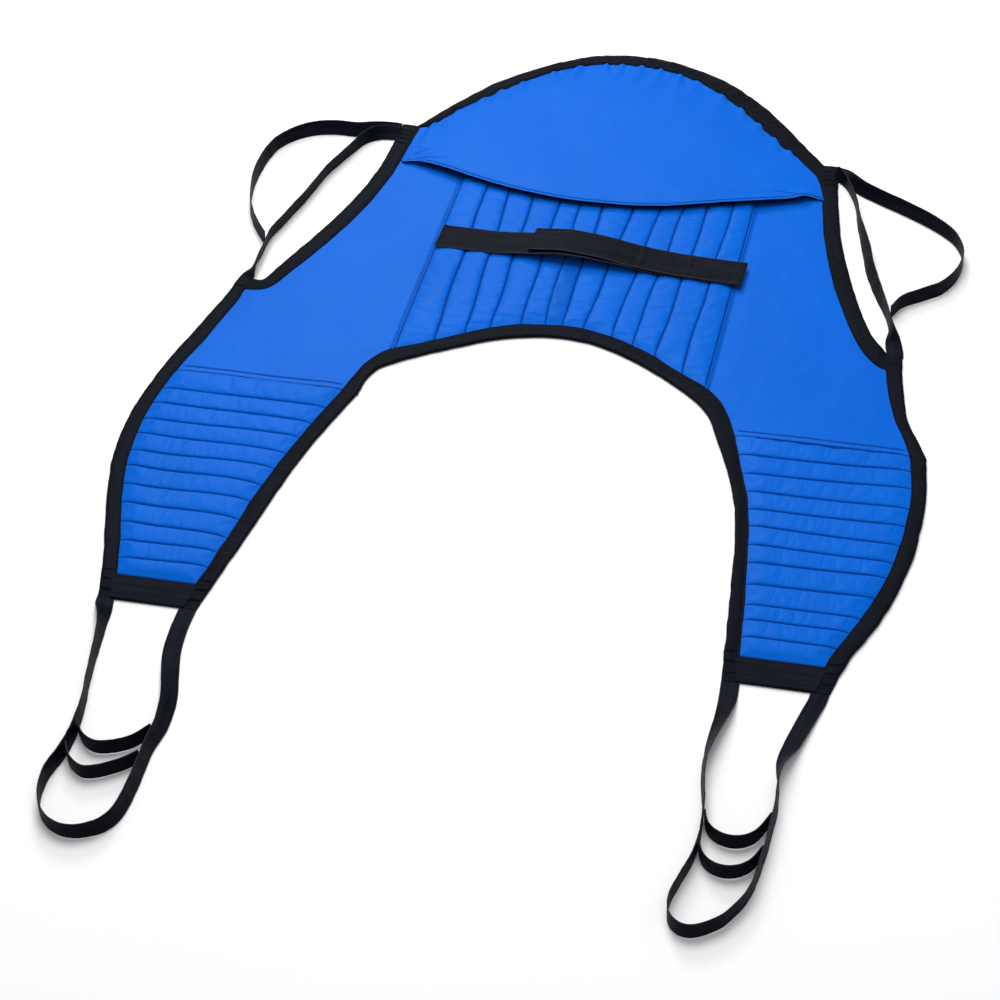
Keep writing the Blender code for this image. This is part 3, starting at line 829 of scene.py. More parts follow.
def pad_height(along, across, steps, distance, seed, wrinkle):
    """The quilted top: channels, small wrinkles across them, and the fall to the sewn border."""
    share, nearer = from_stitching(steps)
    puff = 1 - np.abs(2 * share - 1) ** 5.0
    # Nearness to the stitching sinks the groove, and is also painted into the pads' colour as shade in the groove.
    close = bell(nearer, 0, 0.032)
    uneven = 1 + 0.14 * wave(along, across, seed, 0.090)
    body = SEWN_Z + (CREST_Z - SEWN_Z) * puff * uneven
    # No two channels lie at quite the same tilt.
    channel = np.floor(steps + 1e-9).astype(int)
    tilt = np.random.default_rng(seed).uniform(-0.9, 0.9, 14)[channel] * MM
    body = body + tilt * (steps - channel - 0.5) * puff
    strong = np.clip(0.55 + 0.9 * wave(along, across, seed + 5, 0.070), 0.05, 1.3)
    fine = wave(along, across * 0.30 + np.floor(steps) * 0.013, seed + 3, 0.0085)
    body = body + wrinkle * fine * strong * (0.25 + 0.75 * puff)
    rise = 1 - np.exp(-((distance / 0.010) ** 1.5))
    return EDGE_Z + (body - EDGE_Z) * rise - 0.9 * MM * close * rise, close


# The back pad's flat border, outwards from its last line of stitching: distance, height in mm, and painted shade
# along its stitching.
BACK_BORDER = ((0.0010, 4.9, 0.3), (0.0024, 4.6, 0.0), (0.0040, 4.3, 0.8), (0.0055, 4.2, 0.0), (0.0085, 3.2, 0.0))


def build_back_pad():
    crotch = EDGES["crotch_binding"][1]
    steps = channel_steps()
    rows = 230
    (low_s, low), (_, high) = BACK_LINES.items()
    numbers = np.arange(CHANNELS + 1)

    def x_at(step, s):
        share = (s - low_s) / 0.20
        sway = 0.0012 * np.sin(s * 31 + step * 1.7)
        inner = np.clip(np.minimum(step, CHANNELS - step), 0, 1)
        return (1 - share) * np.interp(step, numbers, low) + share * np.interp(step, numbers, high) + sway * inner

    x = np.zeros((rows, len(steps)))
    s = np.zeros_like(x)
    for j, step in enumerate(steps):
        bottom = 0.8
        for _ in range(12):
            bottom = float(s_on(crotch, x_at(step, bottom))) + 0.004
        s[:, j] = HEAD_FOLD_S + (bottom - HEAD_FOLD_S) * np.linspace(0, 1, rows)
        x[:, j] = x_at(step, s[:, j])
    grid = np.broadcast_to(steps, x.shape)
    border = np.minimum(x + PAD_HALF, PAD_HALF - x)
    distance = np.minimum(border + 0.004, s[-1][None, :] - s)
    z, close = pad_height(s, x, grid, np.clip(distance, 0, 1), 5, 0.50 * MM)
    # The channels either side of the middle seam are pulled up towards the handle.
    z = z + 1.6 * MM * (bell(s, 0.60, 0.11) * bell(x, 0.020, 0.030)) * (1 - close)
    # Below it the channel left of the middle seam is folded down towards that seam.
    fold = step_between(s, 0.585, 0.640) * (1 - step_between(s, 0.700, 0.800))
    z = z + 3.0 * MM * fold * np.interp(grid, (3.0, 5.0, 6.0), (0.0, 1.0, 0.0))
    # The fold's shade is also painted into the channel's colour.
    shade = np.interp(grid, (4.7, 5.05, 5.9, 6.0, 6.02), (0.0, 0.8, 1.0, 1.0, 0.0))
    close = np.maximum(close, 0.22 * fold * shade)
    pinned = sewn_down(grid, distance)
    pinned[0] = pinned[-1] = True
    x, s, z = settle(x, s, z, pinned, 0.010)
    for beyond, height, dark in BACK_BORDER:
        ridge = 0.25 * wave(s[:, [0]], s[:, [0]] * 0, 9, 0.010)
        extra = np.full((rows, 1), height * MM) + ridge * MM
        z = np.hstack([extra, z, extra])
        x = np.hstack([x[:, [0]] * 0 + low[0] - beyond, x, x[:, [0]] * 0 + low[-1] + beyond])
        s = np.hstack([s[:, [0]], s, s[:, [-1]]])
        close = np.hstack([extra * 0 + dark, close, extra * 0 + dark])
    pad = pad_mesh("back_pad", x, s, z, close)
    attach(pad, "torso", "back_pad_foam", "back_pad_cover")
    sewn = Stitching()
    for column in [2, *range(5, x.shape[1], len(SHARES)), x.shape[1] - 3]:
        sewn.row(world(x[:, column], s[:, column], z[:, column]), lift=0.2 * MM, thick=0.7 * MM)
    sewn.sew_on("back_pad_stitching", "blue_thread", "torso")


def build_thigh_pad(side):
    outer = EDGES[f"thigh_outer_binding_{side}"][1]
    inner = EDGES[f"thigh_inner_binding_{side}"][1]
    steps = channel_steps()
    across = np.linspace(0, 1, 120)
    ends = [np.interp(steps, np.arange(CHANNELS + 1), line) for line in THIGH_LINES[side]]
    if side == "left":
        sag = 0.002 * np.sin(2 * np.pi * across)[None, :] * np.minimum(steps, CHANNELS - steps)[:, None] / 4
    else:
        sag = 0.004 * np.sin(np.pi * across)[None, :] * (1 - steps / CHANNELS)[:, None]
    s = ends[0][:, None] * (1 - across) + ends[1][:, None] * across + sag * (steps[:, None] > 0)
    s[-1] = BAND_TOP_S + 0.003
    x_out = x_on(outer, s) + SIGN[side] * 0.003
    x_in = x_on(inner, s) - SIGN[side] * 0.003
    x = x_out * (1 - across) + x_in * across
    wide = np.abs(x_out - x_in)
    distance = np.minimum(np.minimum(across * wide, (1 - across) * wide), BAND_TOP_S + 0.001 - s)
    grid = np.broadcast_to(steps[:, None], x.shape)
    z, close = pad_height(x, s, grid, np.clip(distance, 0, 1), 8 + SIGN[side], 0.22 * MM)
    # The first row of quilting is gathered into the leg's seam.
    z -= 0.6 * MM * step_between(1 - grid, 0.55, 1.0)
    x, s, z = settle(x, s, z, sewn_down(grid, distance), 0.007)
    pad = pad_mesh(f"thigh_pad_{side}", x, s, z, close)
    attach(pad, f"thigh_{side}", f"thigh_foam_{side}", f"thigh_cover_{side}")
    sewn = Stitching()
    for row in range(0, CHANNELS * len(SHARES), len(SHARES)):
        sewn.row(world(x[row], s[row], z[row])[4:-4], lift=0.2 * MM, thick=0.7 * MM)
    sewn.sew_on(f"thigh_pad_stitching_{side}", "blue_thread", f"thigh_{side}")


# ---------------------------------------------------------------- plain panels

def build_side_panel(side):
    arm, hip = EDGES[f"arm_binding_{side}"][1], EDGES[f"hip_binding_{side}"][1]
    edge = np.concatenate([arm, hip[1:]])
    crotch = EDGES["crotch_binding"][1]
    crotch = crotch[crotch[:, 0] * SIGN[side] > 0.2]
    # The rows are closer together near the leg's seam.
    s_line = np.concatenate([np.linspace(HEAD_FOLD_S, 0.950, 164)[:-1], np.linspace(0.950, THIGH_SEAM_S, 27)])
    x_edge = x_on(edge, s_line) + SIGN[side] * 0.004
    x_pad = np.where(s_line < 0.872, SIGN[side] * 0.243, x_on(crotch, s_line) - SIGN[side] * 0.004)
    across = np.linspace(0, 1, 90)
    x = x_pad[:, None] * (1 - across) + x_edge[:, None] * across
    s = np.repeat(s_line[:, None], len(across), 1)
    away = np.minimum(np.abs(x - x_edge[:, None]), np.abs(x - x_pad[:, None]))
    free = step_between(away, 0.0, 0.035)
    z = 3.3 * MM + free * (0.9 * MM + 1.3 * MM * wave(x, s, 14 + SIGN[side], 0.110))
    z += free * 0.35 * MM * wave(x, s, 24 + SIGN[side], 0.024)
    # The fabric is eased into the leg's seam: short puckers, and a shallow tuck above the seam.
    inside = step_between(away, 0.004, 0.016)
    near = np.exp(-(THIGH_SEAM_S - s) / 0.014)
    z += inside * near * (1.3 * MM + 0.55 * MM * wave(x, s * 0.2, 3, 0.008))
    z -= inside * 0.9 * MM * bell(s, TUCK_S, 0.0016)
    # The tuck and the puckers are also painted darker: painted shade in their creases.
    painted_shading = 0.9 * bell(s, TUCK_S, 0.0014) * inside + bell(s, PUCKER_S, 0.0018)
    panel = grid_sheet(f"side_panel_{side}", x, s, z, painted_shading=painted_shading)
    attach(panel, "torso", f"side_panel_{side}")
    sewn = Stitching()
    row = int(np.argmin(abs(s_line - TUCK_S)))
    sewn.row(world(x[row], s[row], z[row])[3:-3], lift=0.2 * MM, thick=0.7 * MM)
    sewn.sew_on(f"side_panel_stitching_{side}", "blue_thread", "torso")


def fill_outline(loop, pitch):
    """An even net of points inside a plan outline, joined into triangles: its places and its faces."""
    edge = resample(np.concatenate([loop, loop[:1]]), int(lengths(loop)[-1] / pitch) + 2)[:-1]
    low, high = edge.min(0), edge.max(0)
    inside = []
    for i, s in enumerate(np.arange(low[1] + pitch, high[1], pitch * 0.87)):
        for x in np.arange(low[0] + pitch * (0.5 + 0.5 * (i % 2)), high[0], pitch):
            inside.append((x, s))
    inside = np.array(inside)
    near = np.full(len(inside), 9.0)
    crossing = np.zeros(len(inside), bool)
    for a, b in zip(edge, np.roll(edge, -1, 0)):
        along = b - a
        t = np.clip(((inside - a) @ along) / (along @ along), 0, 1)
        near = np.minimum(near, np.linalg.norm(inside - a - t[:, None] * along, axis=1))
        spans = (a[1] > inside[:, 1]) != (b[1] > inside[:, 1])
        where_x = a[0] + (inside[:, 1] - a[1]) * along[0] / (along[1] if along[1] else 1e-12)
        crossing ^= spans & (inside[:, 0] < where_x)
    inside = inside[crossing & (near > pitch * 0.45)]
    points = [Vector(p) for p in edge] + [Vector(p) for p in inside]
    ring = [(i, (i + 1) % len(edge)) for i in range(len(edge))]
    found = geometry.delaunay_2d_cdt(points, ring, [list(range(len(edge)))], 1, 1e-7)
    return np.array([tuple(p) for p in found[0]]), [tuple(f) for f in found[2]]


def build_liners():
    """The plain fabric underneath, nearly flat on the floor."""
    rows = [("back_liner", 0.012, 61, "torso"), ("head_panel", 0.009, 62, "head")]
    rows += [(f"thigh_liner_{side}", 0.008, 63, f"thigh_{side}") for side in SIDES]
    for name, pitch, seed, where in rows:
        loop = loops[name]
        places, faces = fill_outline(loop, pitch)
        x, s = places[:, 0], places[:, 1]
        z = 1.35 * MM + 0.12 * MM * wave(x, s, seed, 0.05)
        made = sheet_mesh(name, world(x, s, z), faces, LINER_THICK)
        attach(made, where, name)


# ---------------------------------------------------------------- head pocket

POCKET_EDGE = [
    (-0.354, 0.370), (-0.345, 0.377), (-0.332, 0.376), (-0.290, 0.388), (-0.200, 0.422), (-0.100, 0.446),
    (0.000, 0.452), (0.100, 0.442), (0.200, 0.413), (0.290, 0.384), (0.318, 0.371), (0.334, 0.365), (0.349, 0.364),
]
POCKET_RIGHT = [(0.250, 0.296), (0.268, 0.3055), (0.298, 0.328), (0.324, 0.341), (0.358, 0.349), (0.376, 0.350)]

POCKET_MIN_Z = 1.3 * MM
HEM_POINTS = 420
# The hem's cross-section going round, in mm in front of and above the free edge, and the light and shade
# painted at each point: above 0 is painted shade, 1 in the stitching's groove and 2, near black, a painted
# shadow on the edge's face and underside; below 0 is a painted highlight on the rolled edge.
HEM_PROFILE = [(-7.5, 0.10), (-6.6, 0.45), (-5.2, 0.15), (-4.4, -0.25), (-3.6, 0.30), (-2.0, 0.90), (-0.6, 1.40),
               (0.9, 1.50), (1.8, 1.00), (2.2, 0.20), (2.3, -1.60), (1.6, -4.20), (0.0, -4.60), (-1.6, -3.40),
               (-5.0, -1.60), (-7.5, -1.15)]
HEM_SHADE = [0, 0, 0.5, 1, 0.6, 0.35, 0.20, 0, -0.80, 1.6, 2, 2, 2, 2, 2, 1]


def pocket_border(s):
    """The pocket's left and right edges, tucked under the tapes."""
    left = x_on(EDGES["arm_binding_left"][1], s) - 0.002
    right = np.interp(s, *zip(*POCKET_RIGHT))
    return left, right


def pleats(x, depth):
    """Folds that run into the pocket from each gather of the tape."""
    draw = np.random.default_rng(5)
    total = np.zeros_like(x)
    for cusp in CUSPS:
        high, reach = draw.uniform(2.3, 4.6) * MM, draw.uniform(0.018, 0.050)
        slant, wide = draw.uniform(-0.25, 0.25), draw.uniform(2.6, 4.4) * MM
        away = (x - cusp - slant * depth) / (wide * (1 + depth / 0.022))
        fall = (1 - np.exp(-np.clip(depth + 0.002, 0, 1) / 0.003)) * np.exp(-np.clip(depth, 0, 1) / reach)
        total += high * fall * (bell(away, 0, 1) - 0.45 * bell(away, 1.9, 1))
        total -= high * fall * 0.35 * bell(away, -2.0, 1)
    return total


def pocket_height(x, s, depth):
    """The pocket's front: sewn low under the tapes, filled out towards its free edge."""
    left, right = pocket_border(s)
    sides = np.clip(np.minimum(x - left, right - x), 0, 1)
    low = np.minimum(0.76 * head_heights(x) - 0.3 * MM, 3.8 * MM + 0.12 * sides)
    inside = np.clip(depth, 0, 1)
    full = 1 - np.exp(-((inside / 0.062) ** 1.2))
    side_rise = 1 - np.exp(-((sides / 0.038) ** 1.15))
    crown = 17.3 * MM + 1.0 * MM * wave(x, s, 71, 0.160) + 0.9 * MM * wave(x, s, 74, 0.060)
    z = low + (crown - low) * full * side_rise
    z = z + np.minimum(depth, 0) * 1.1
    calm = step_between(sides, 0.0, 0.02)
    z = z + pleats(x, depth) * calm
    z = z + 0.45 * MM * wave(x * 2.2, s * 0.5, 72, 0.030) * np.exp(-inside / 0.10) * full * calm
    z = z + 0.22 * MM * wave(x, s, 73, 0.018) * calm
    # The left corner is crumpled where it is sewn in, and the right corner stands up in a small curl.
    corner = bell(x, -0.325, 0.030) * bell(s, 0.352, 0.032)
    z = z + corner * calm * (1.4 * MM * np.sin((x * 0.8 + s) * 320) + 1.3 * MM * wave(x, s, 76, 0.010))
    return z + 4.6 * MM * (bell(x, 0.316, 0.016) * bell(s, 0.372, 0.020)) * calm


def build_hem(edge):
    """The rolled hem along the pocket's free edge, with its row of stitching."""
    path = resample(eased(edge, 2), HEM_POINTS)
    tangent = np.gradient(path, axis=0)
    tangent /= np.linalg.norm(tangent, axis=1)[:, None]
    side = np.stack([-tangent[:, 1], tangent[:, 0], 0 * tangent[:, 0]], 1)
    side /= np.linalg.norm(side, axis=1)[:, None]
    swell = 1 + 0.16 * wave(path[:, 0], path[:, 0] * 0, 81, 0.010)
    number = np.arange(HEM_POINTS)
    thin = 0.55 + 0.45 * step_between(np.minimum(number, number[::-1]), 0, 40)
    u, z = np.array(HEM_PROFILE).T
    rings = path[:, None] + side[:, None] * u[:, None] * MM
    rings[..., 2] += z * MM * swell[:, None] * thin[:, None]
    lay = np.stack(np.broadcast_arrays((number * 0.002)[:, None], u * MM, 0 * u), -1)
    # Light and shade are painted into the hem's colour: a highlight on its rolled edge and a near-black shadow on
    # its face and underside.
    hem = sweep("pocket_hem", world_rows(rings), "blue", lay, painted_shading=np.tile(HEM_SHADE, HEM_POINTS))
    attach(hem, "pocket", "pocket_hem")
    sewn = Stitching()
    sewn.row(world_rows(path + side * -4.4 * MM), lift=0.05 * MM, thick=0.6 * MM)
    return hem, sewn.sew_on("pocket_hem_stitching", "blue_thread", "pocket")


def build_pocket():
    inner = EDGES["head_binding"][1]
    across = np.linspace(0, 1, 300)
    x_top = -0.347 + 0.652 * across
    s_top = np.where(x_top < -0.334, 0.268 + 0.35 * (-0.334 - x_top), s_on(inner, x_top))
    s_top = np.convolve(np.pad(s_top, 4, "edge"), np.ones(9) / 9, "valid")
    left, right = pocket_border(np.array([POCKET_FOLD_S]))
    x_bottom = float(left[0]) + (float(right[0]) - float(left[0])) * across
    tuck = 0.004
    down = np.concatenate([np.linspace(0, 0.28, 62)[:-1], np.linspace(0.28, 1, 60)])[:, None]
    x = x_top * (1 - down) + x_bottom * down
    x = x + 0.011 * np.sin(np.pi * down) * step_between(across, 0.72, 1.0)
    s = (s_top - tuck) * (1 - down) + POCKET_FOLD_S * down
    front = grid_sheet("pocket_front", x, s, np.maximum(pocket_height(x, s, s - s_top), POCKET_MIN_Z))
    attach(front, "head", "head_pocket", "pocket_front")

    x_end = -0.352 + 0.700 * across
    s_end = s_on(catmull(POCKET_EDGE, 12), x_end)
    down = np.linspace(0, 1, 44)[:, None]
    x = x_bottom * (1 - down) + x_end * down
    s = POCKET_FOLD_S * (1 - down) + s_end * down
    calm = step_between(np.minimum(x + 0.352, 0.348 - x), 0, 0.05)
    behind = s_end - s
    # The fabric stands up along the hem, with a shallow hollow behind it.
    swell = 0.9 * MM * bell(behind, 0, 0.006) - 0.9 * MM * bell(behind, 0.016, 0.010)
    z = pocket_height(x, s, s - s_top) + calm * swell
    lip = grid_sheet("pocket_lip", x, s, z)
    attach(lip, "pocket", "pocket_lip")
    hem, thread_row = build_hem(np.stack([x[-1], s[-1], z[-1]], 1))


# ---------------------------------------------------------------- webbing

# Routes in plan, with the lean from standing on edge in degrees; the rungs all stand on edge.
SHOULDER_LOOP = {
    "left": [
        (-0.3760, 0.288, 62), (-0.3880, 0.288, 58), (-0.416, 0.294, 46), (-0.446, 0.305, 36), (-0.480, 0.305, 34),
        (-0.516, 0.315, 22), (-0.546, 0.338, 10), (-0.567, 0.370, 6), (-0.576, 0.410, 8), (-0.577, 0.460, 6),
        (-0.571, 0.510, -2), (-0.557, 0.560, -6), (-0.536, 0.600, -6), (-0.512, 0.634, -4),
    ],
    "right": [
        (0.3585, 0.282, -78), (0.3700, 0.290, -68), (0.383, 0.307, -44), (0.407, 0.331, -27), (0.441, 0.353, -22),
        (0.481, 0.376, -20), (0.521, 0.402, -16), (0.559, 0.436, -6), (0.577, 0.466, 0), (0.583, 0.497, 0),
        (0.577, 0.540, 3), (0.558, 0.577, 6), (0.531, 0.600, 6), (0.503, 0.623, 2), (0.4890, 0.652, 0),
    ],
}
SHOULDER_STRAP = {
    "left": [
        (-0.3760, 0.300, 60), (-0.3880, 0.301, 52), (-0.4075, 0.309, 30), (-0.427, 0.329, 6), (-0.445, 0.377, -6),
        (-0.461, 0.423, -8), (-0.472, 0.472, -8), (-0.483, 0.527, -8), (-0.495, 0.577, -8), (-0.506, 0.621, -10),
        (-0.5065, 0.655, -12), (-0.5065, 0.684, -14), (-0.5085, 0.704, -24), (-0.5105, 0.716, -52),
        (-0.5135, 0.727, -80), (-0.5155, 0.738, -88),
    ],
    "right": [
        (0.3585, 0.296, -30), (0.3690, 0.305, -10), (0.384, 0.330, 4), (0.400, 0.371, 1), (0.414, 0.431, -7),
        (0.431, 0.491, -22), (0.446, 0.551, -24), (0.463, 0.601, -18), (0.480, 0.645, -6), (0.4905, 0.680, -4),
        (0.4955, 0.703, -30), (0.5010, 0.722, -66), (0.5060, 0.740, -86), (0.5070, 0.749, -90),
    ],
}
LEG_LOOP = {
    "left": [
        (-0.494, 1.4700, 90), (-0.494, 1.4780, 88), (-0.491, 1.490, 76), (-0.486, 1.506, 50),
        (-0.480, 1.528, 24), (-0.472, 1.575, 9), (-0.463, 1.630, 3), (-0.453, 1.685, 3), (-0.448, 1.730, 8),
        (-0.450, 1.775, 10), (-0.458, 1.820, 6), (-0.451, 1.862, 0), (-0.432, 1.891, 0), (-0.405, 1.905, 0),
        (-0.375, 1.899, -4), (-0.352, 1.880, -14), (-0.343, 1.845, -20), (-0.342, 1.795, -20),
        (-0.343, 1.745, -20), (-0.340, 1.705, -36), (-0.343, 1.668, -52), (-0.349, 1.638, -60),
        (-0.360, 1.602, -70), (-0.371, 1.560, -84), (-0.3755, 1.520, -90), (-0.376, 1.495, -90),
        (-0.3755, 1.4780, -90), (-0.3755, 1.4700, -90),
    ],
    "right": [
        (0.493, 1.4700, -90), (0.4930, 1.4780, -90), (0.4905, 1.495, -90), (0.485, 1.516, -86),
        (0.477, 1.550, -80), (0.470, 1.580, -72), (0.465, 1.604, -52), (0.4635, 1.628, -22), (0.464, 1.655, 2),
        (0.467, 1.692, 7), (0.466, 1.740, 6), (0.463, 1.790, 4), (0.456, 1.840, 0), (0.437, 1.882, 0),
        (0.412, 1.907, 0), (0.388, 1.915, 0), (0.368, 1.901, 0), (0.362, 1.872, 0), (0.370, 1.832, 0),
        (0.380, 1.790, 0), (0.381, 1.745, 0), (0.376, 1.700, 5), (0.368, 1.655, 10), (0.3665, 1.622, 18),
        (0.3680, 1.596, 32), (0.3715, 1.566, 46), (0.375, 1.540, 60), (0.3760, 1.515, 80), (0.3755, 1.495, 88),
        (0.3745, 1.4780, 90), (0.3745, 1.4700, 90),
    ],
}
RUNG = {
    "left_upper": [
        (-0.4462, 1.724), (-0.434, 1.744), (-0.416, 1.757), (-0.395, 1.756), (-0.368, 1.742), (-0.3482, 1.716),
    ],
    "left_lower": [
        (-0.4466, 1.766), (-0.437, 1.786), (-0.416, 1.803), (-0.395, 1.800), (-0.368, 1.783), (-0.3487, 1.764),
    ],
    "right_upper": [
        (0.3820, 1.726), (0.390, 1.748), (0.408, 1.761), (0.430, 1.762), (0.450, 1.748), (0.4639, 1.716),
    ],
    "right_lower": [
        (0.3832, 1.776), (0.391, 1.798), (0.408, 1.811), (0.430, 1.812), (0.450, 1.798), (0.4617, 1.772),
    ],
}
# The handle's routes have the rise above its lowest height in place of the lean.
HANDLE_BASE = [
    (-0.239, 0.576, 0), (-0.155, 0.579, 0), (-0.090, 0.583, 0.008), (-0.020, 0.587, 0.017),
    (0.060, 0.589, 0.010), (0.110, 0.590, 0.002), (0.165, 0.592, 0), (0.254, 0.597, 0),
]
HANDLE_GRIP = [
    (-0.087, 0.577, 0.013), (-0.030, 0.581, 0.0205), (0.030, 0.585, 0.0170), (0.085, 0.588, 0.0085),
    (0.125, 0.590, 0.0045), (0.168, 0.592, 0.0025), (0.255, 0.596, 0.0025),
]

WEBBING_WIDE = 25 * MM
WEBBING_THICK = 2.0 * MM
HANDLE_WIDE = 58 * MM
HANDLE_LOW = 11.0 * MM


def strap_profile(wide, relief):
    """Flat webbing with rounded selvedges: (across, through), going round; relief raises both faces."""
    shares = np.sin(np.linspace(-1, 1, 17) * 1.35) / np.sin(1.35) * 0.985
    top = [(v * wide / 2, WEBBING_THICK / 2 * (0.92 - 0.30 * v**12) + relief(v)) for v in shares]
    edge, low = wide / 2, WEBBING_THICK * 0.22
    ring = top + [(edge - 0.05 * MM, low), (edge + 0.03 * MM, 0.0), (edge - 0.05 * MM, -low)]
    ring += [(u, -v) for u, v in top[::-1]]
    return ring + [(-edge + 0.05 * MM, -low), (-edge - 0.03 * MM, 0.0), (-edge + 0.05 * MM, low)]


def plain_relief(v):
    return 0.14 * MM * bell(abs(v), 0.93, 0.05) + 0.05 * MM * math.cos(v * 16)


def handle_relief(v):
    """The handle's webbing: raised selvedges, a line near each edge, and a crease along its middle."""
    lines = -0.30 * MM * bell(abs(v), 0.86, 0.03) - 0.55 * MM * bell(v, 0.10, 0.30)
    return lines + 0.16 * MM * bell(abs(v), 0.95, 0.04) + 0.10 * MM * bell(abs(v), 0.12, 0.08)


def strap(name, path, lean, where, seed, wide=WEBBING_WIDE, relief=plain_relief, sway=0.8 * MM, cup=0.9 * MM,
          dents=()):
    """Webbing along a path of world points; lean is the angle from standing on edge, in degrees."""
    tangent = np.gradient(path, axis=0)
    tangent /= np.linalg.norm(tangent, axis=1)[:, None]
    right = np.stack([tangent[:, 1], -tangent[:, 0], 0 * tangent[:, 0]], 1)
    right /= np.linalg.norm(right, axis=1)[:, None]
    up = np.cross(right, tangent)
    angle = np.radians(lean)[:, None]
    width_way = np.cos(angle) * up + np.sin(angle) * right
    through = np.cross(tangent, width_way)
    along = lengths(path)
    still = step_between(np.minimum(along, along[-1] - along), 0.0, 0.030)
    ripple = wave(along, along * 0, seed, 0.040) * sway * still
    bowl = wave(along, along * 0 + 3, seed + 9, 0.055) * cup * still
    crease = wave(along, along * 0 + 7, seed + 4, 0.016, 3) * 0.42 * MM * still
    for spot in dents:
        crease = crease - 0.9 * MM * bell(along, spot, 1.9 * MM)
    skew = wave(along, along * 0 + 11, seed + 6, 0.05) * 0.5
    u, v = np.array(strap_profile(wide, relief)).T
    share = u / (wide / 2)
    lift = ripple[:, None] + bowl[:, None] * (0.35 - share * share) + crease[:, None] * (1 + skew[:, None] * share)
    rings = path[:, None] + width_way[:, None] * u[:, None] + through[:, None] * (v + lift)[..., None]
    rings[..., 2] = np.maximum(rings[..., 2], FLOOR_GAP)
    lay = np.stack(np.broadcast_arrays(along[:, None], u, share), -1)
    attach(sweep(name, rings, "webbing", lay), where, name)
    return {"path": path, "width_way": width_way, "through": through, "along": along}


def floor_path(points, cuts, pitch=0.0022):
    """A floor route as world points and leans; the height keeps the webbing's lower edge on the floor."""
    line = catmull(points, cuts)
    line = resample(line * np.array([1, 1, 0.001]), int(lengths(line[:, :2])[-1] / pitch) + 1)
    line[:, 2] *= 1000
    line = eased(line, 8)
    angle = np.radians(line[:, 2])
    z = WEBBING_WIDE / 2 * np.abs(np.cos(angle)) + WEBBING_THICK / 2 * np.abs(np.sin(angle)) + 0.3 * MM
    return world(line[:, 0], line[:, 1], z), line[:, 2]


def on_face(laid, part, share, wide, face):
    """Places on one face (1 or -1) of part of a strap, at a share of its width from the middle."""
    line = laid["path"][part] + laid["width_way"][part] * wide * share
    return line + laid["through"][part] * face * (WEBBING_THICK / 2 + 0.10 * MM)


def tack_rows(sewn, laid, spots, reach=0.40, wide=WEBBING_WIDE, long=2.0 * MM):
    """Rows of stitches across a strap at given distances along it, on both its faces."""
    for spot in spots:
        i = int(np.clip(np.searchsorted(laid["along"], spot), 1, len(laid["path"]) - 2))
        share = np.linspace(-reach, reach, 8)[:, None]
        for face in (1, -1):
            sewn.row(on_face(laid, i, share, wide, face), long=long, gap=0.7 * MM, thick=0.5 * MM, lift=0.0)


def box_stitch(sewn, laid, first, last):
    """A sewn box with a cross in it, on both faces of a strap."""
    reach = 0.38
    i, j = (int(np.searchsorted(laid["along"], spot)) for spot in (first, last))
    n = max(min(j, len(laid["path"]) - 1) - i, 2)
    for face in (1, -1):
        for low, high in ((-reach, -reach), (reach, reach), (-reach, reach), (reach, -reach)):
            line = on_face(laid, slice(i, i + n), np.linspace(low, high, n)[:, None], WEBBING_WIDE, face)
            sewn.row(line, long=2.2 * MM, gap=0.9 * MM, thick=0.5 * MM, lift=0.0)
    tack_rows(sewn, laid, (first, last), reach)


def build_leg_loops(side):
    sewn = Stitching()
    main = strap(f"leg_loop_{side}", *floor_path(LEG_LOOP[side], 6), f"loops_{side}", seed=51 + SIGN[side])
    for level in ("upper", "lower"):
        path, lean = floor_path([(x, s, 0.0) for x, s in RUNG[f"{side}_{level}"]], 6)
        strap(f"leg_loop_rung_{level}_{side}", path, lean, f"leg_loops_{side}", seed=57 + SIGN[side],
              wide=WEBBING_WIDE * 0.98, sway=0.1 * MM, cup=0.3 * MM)
        for end_point in (path[0], path[-1]):
            spot = main["along"][int(np.argmin(np.linalg.norm(main["path"] - end_point, axis=1)))]
            box_stitch(sewn, main, spot - 0.010, spot + 0.012)
    sewn.sew_on(f"leg_loop_stitching_{side}", "black_thread", f"leg_loops_{side}")


def build_shoulder_loops(side):
    body = f"shoulder_loops_{side}"
    outer, inner = (
        strap(f"{name}_{side}", *floor_path(routes[side], 6), body, seed=seed + SIGN[side])
        for name, routes, seed in (("shoulder_loop", SHOULDER_LOOP, 65), ("shoulder_strap", SHOULDER_STRAP, 67))
    )
    sewn = Stitching()
    total = outer["along"][-1]
    box_stitch(sewn, outer, total - 0.032, total - 0.006)
    total = inner["along"][-1]
    tack_rows(sewn, inner, (0.010, 0.018, total - 0.012, total - 0.020))
    sewn.sew_on(f"shoulder_loop_stitching_{side}", "black_thread", body)


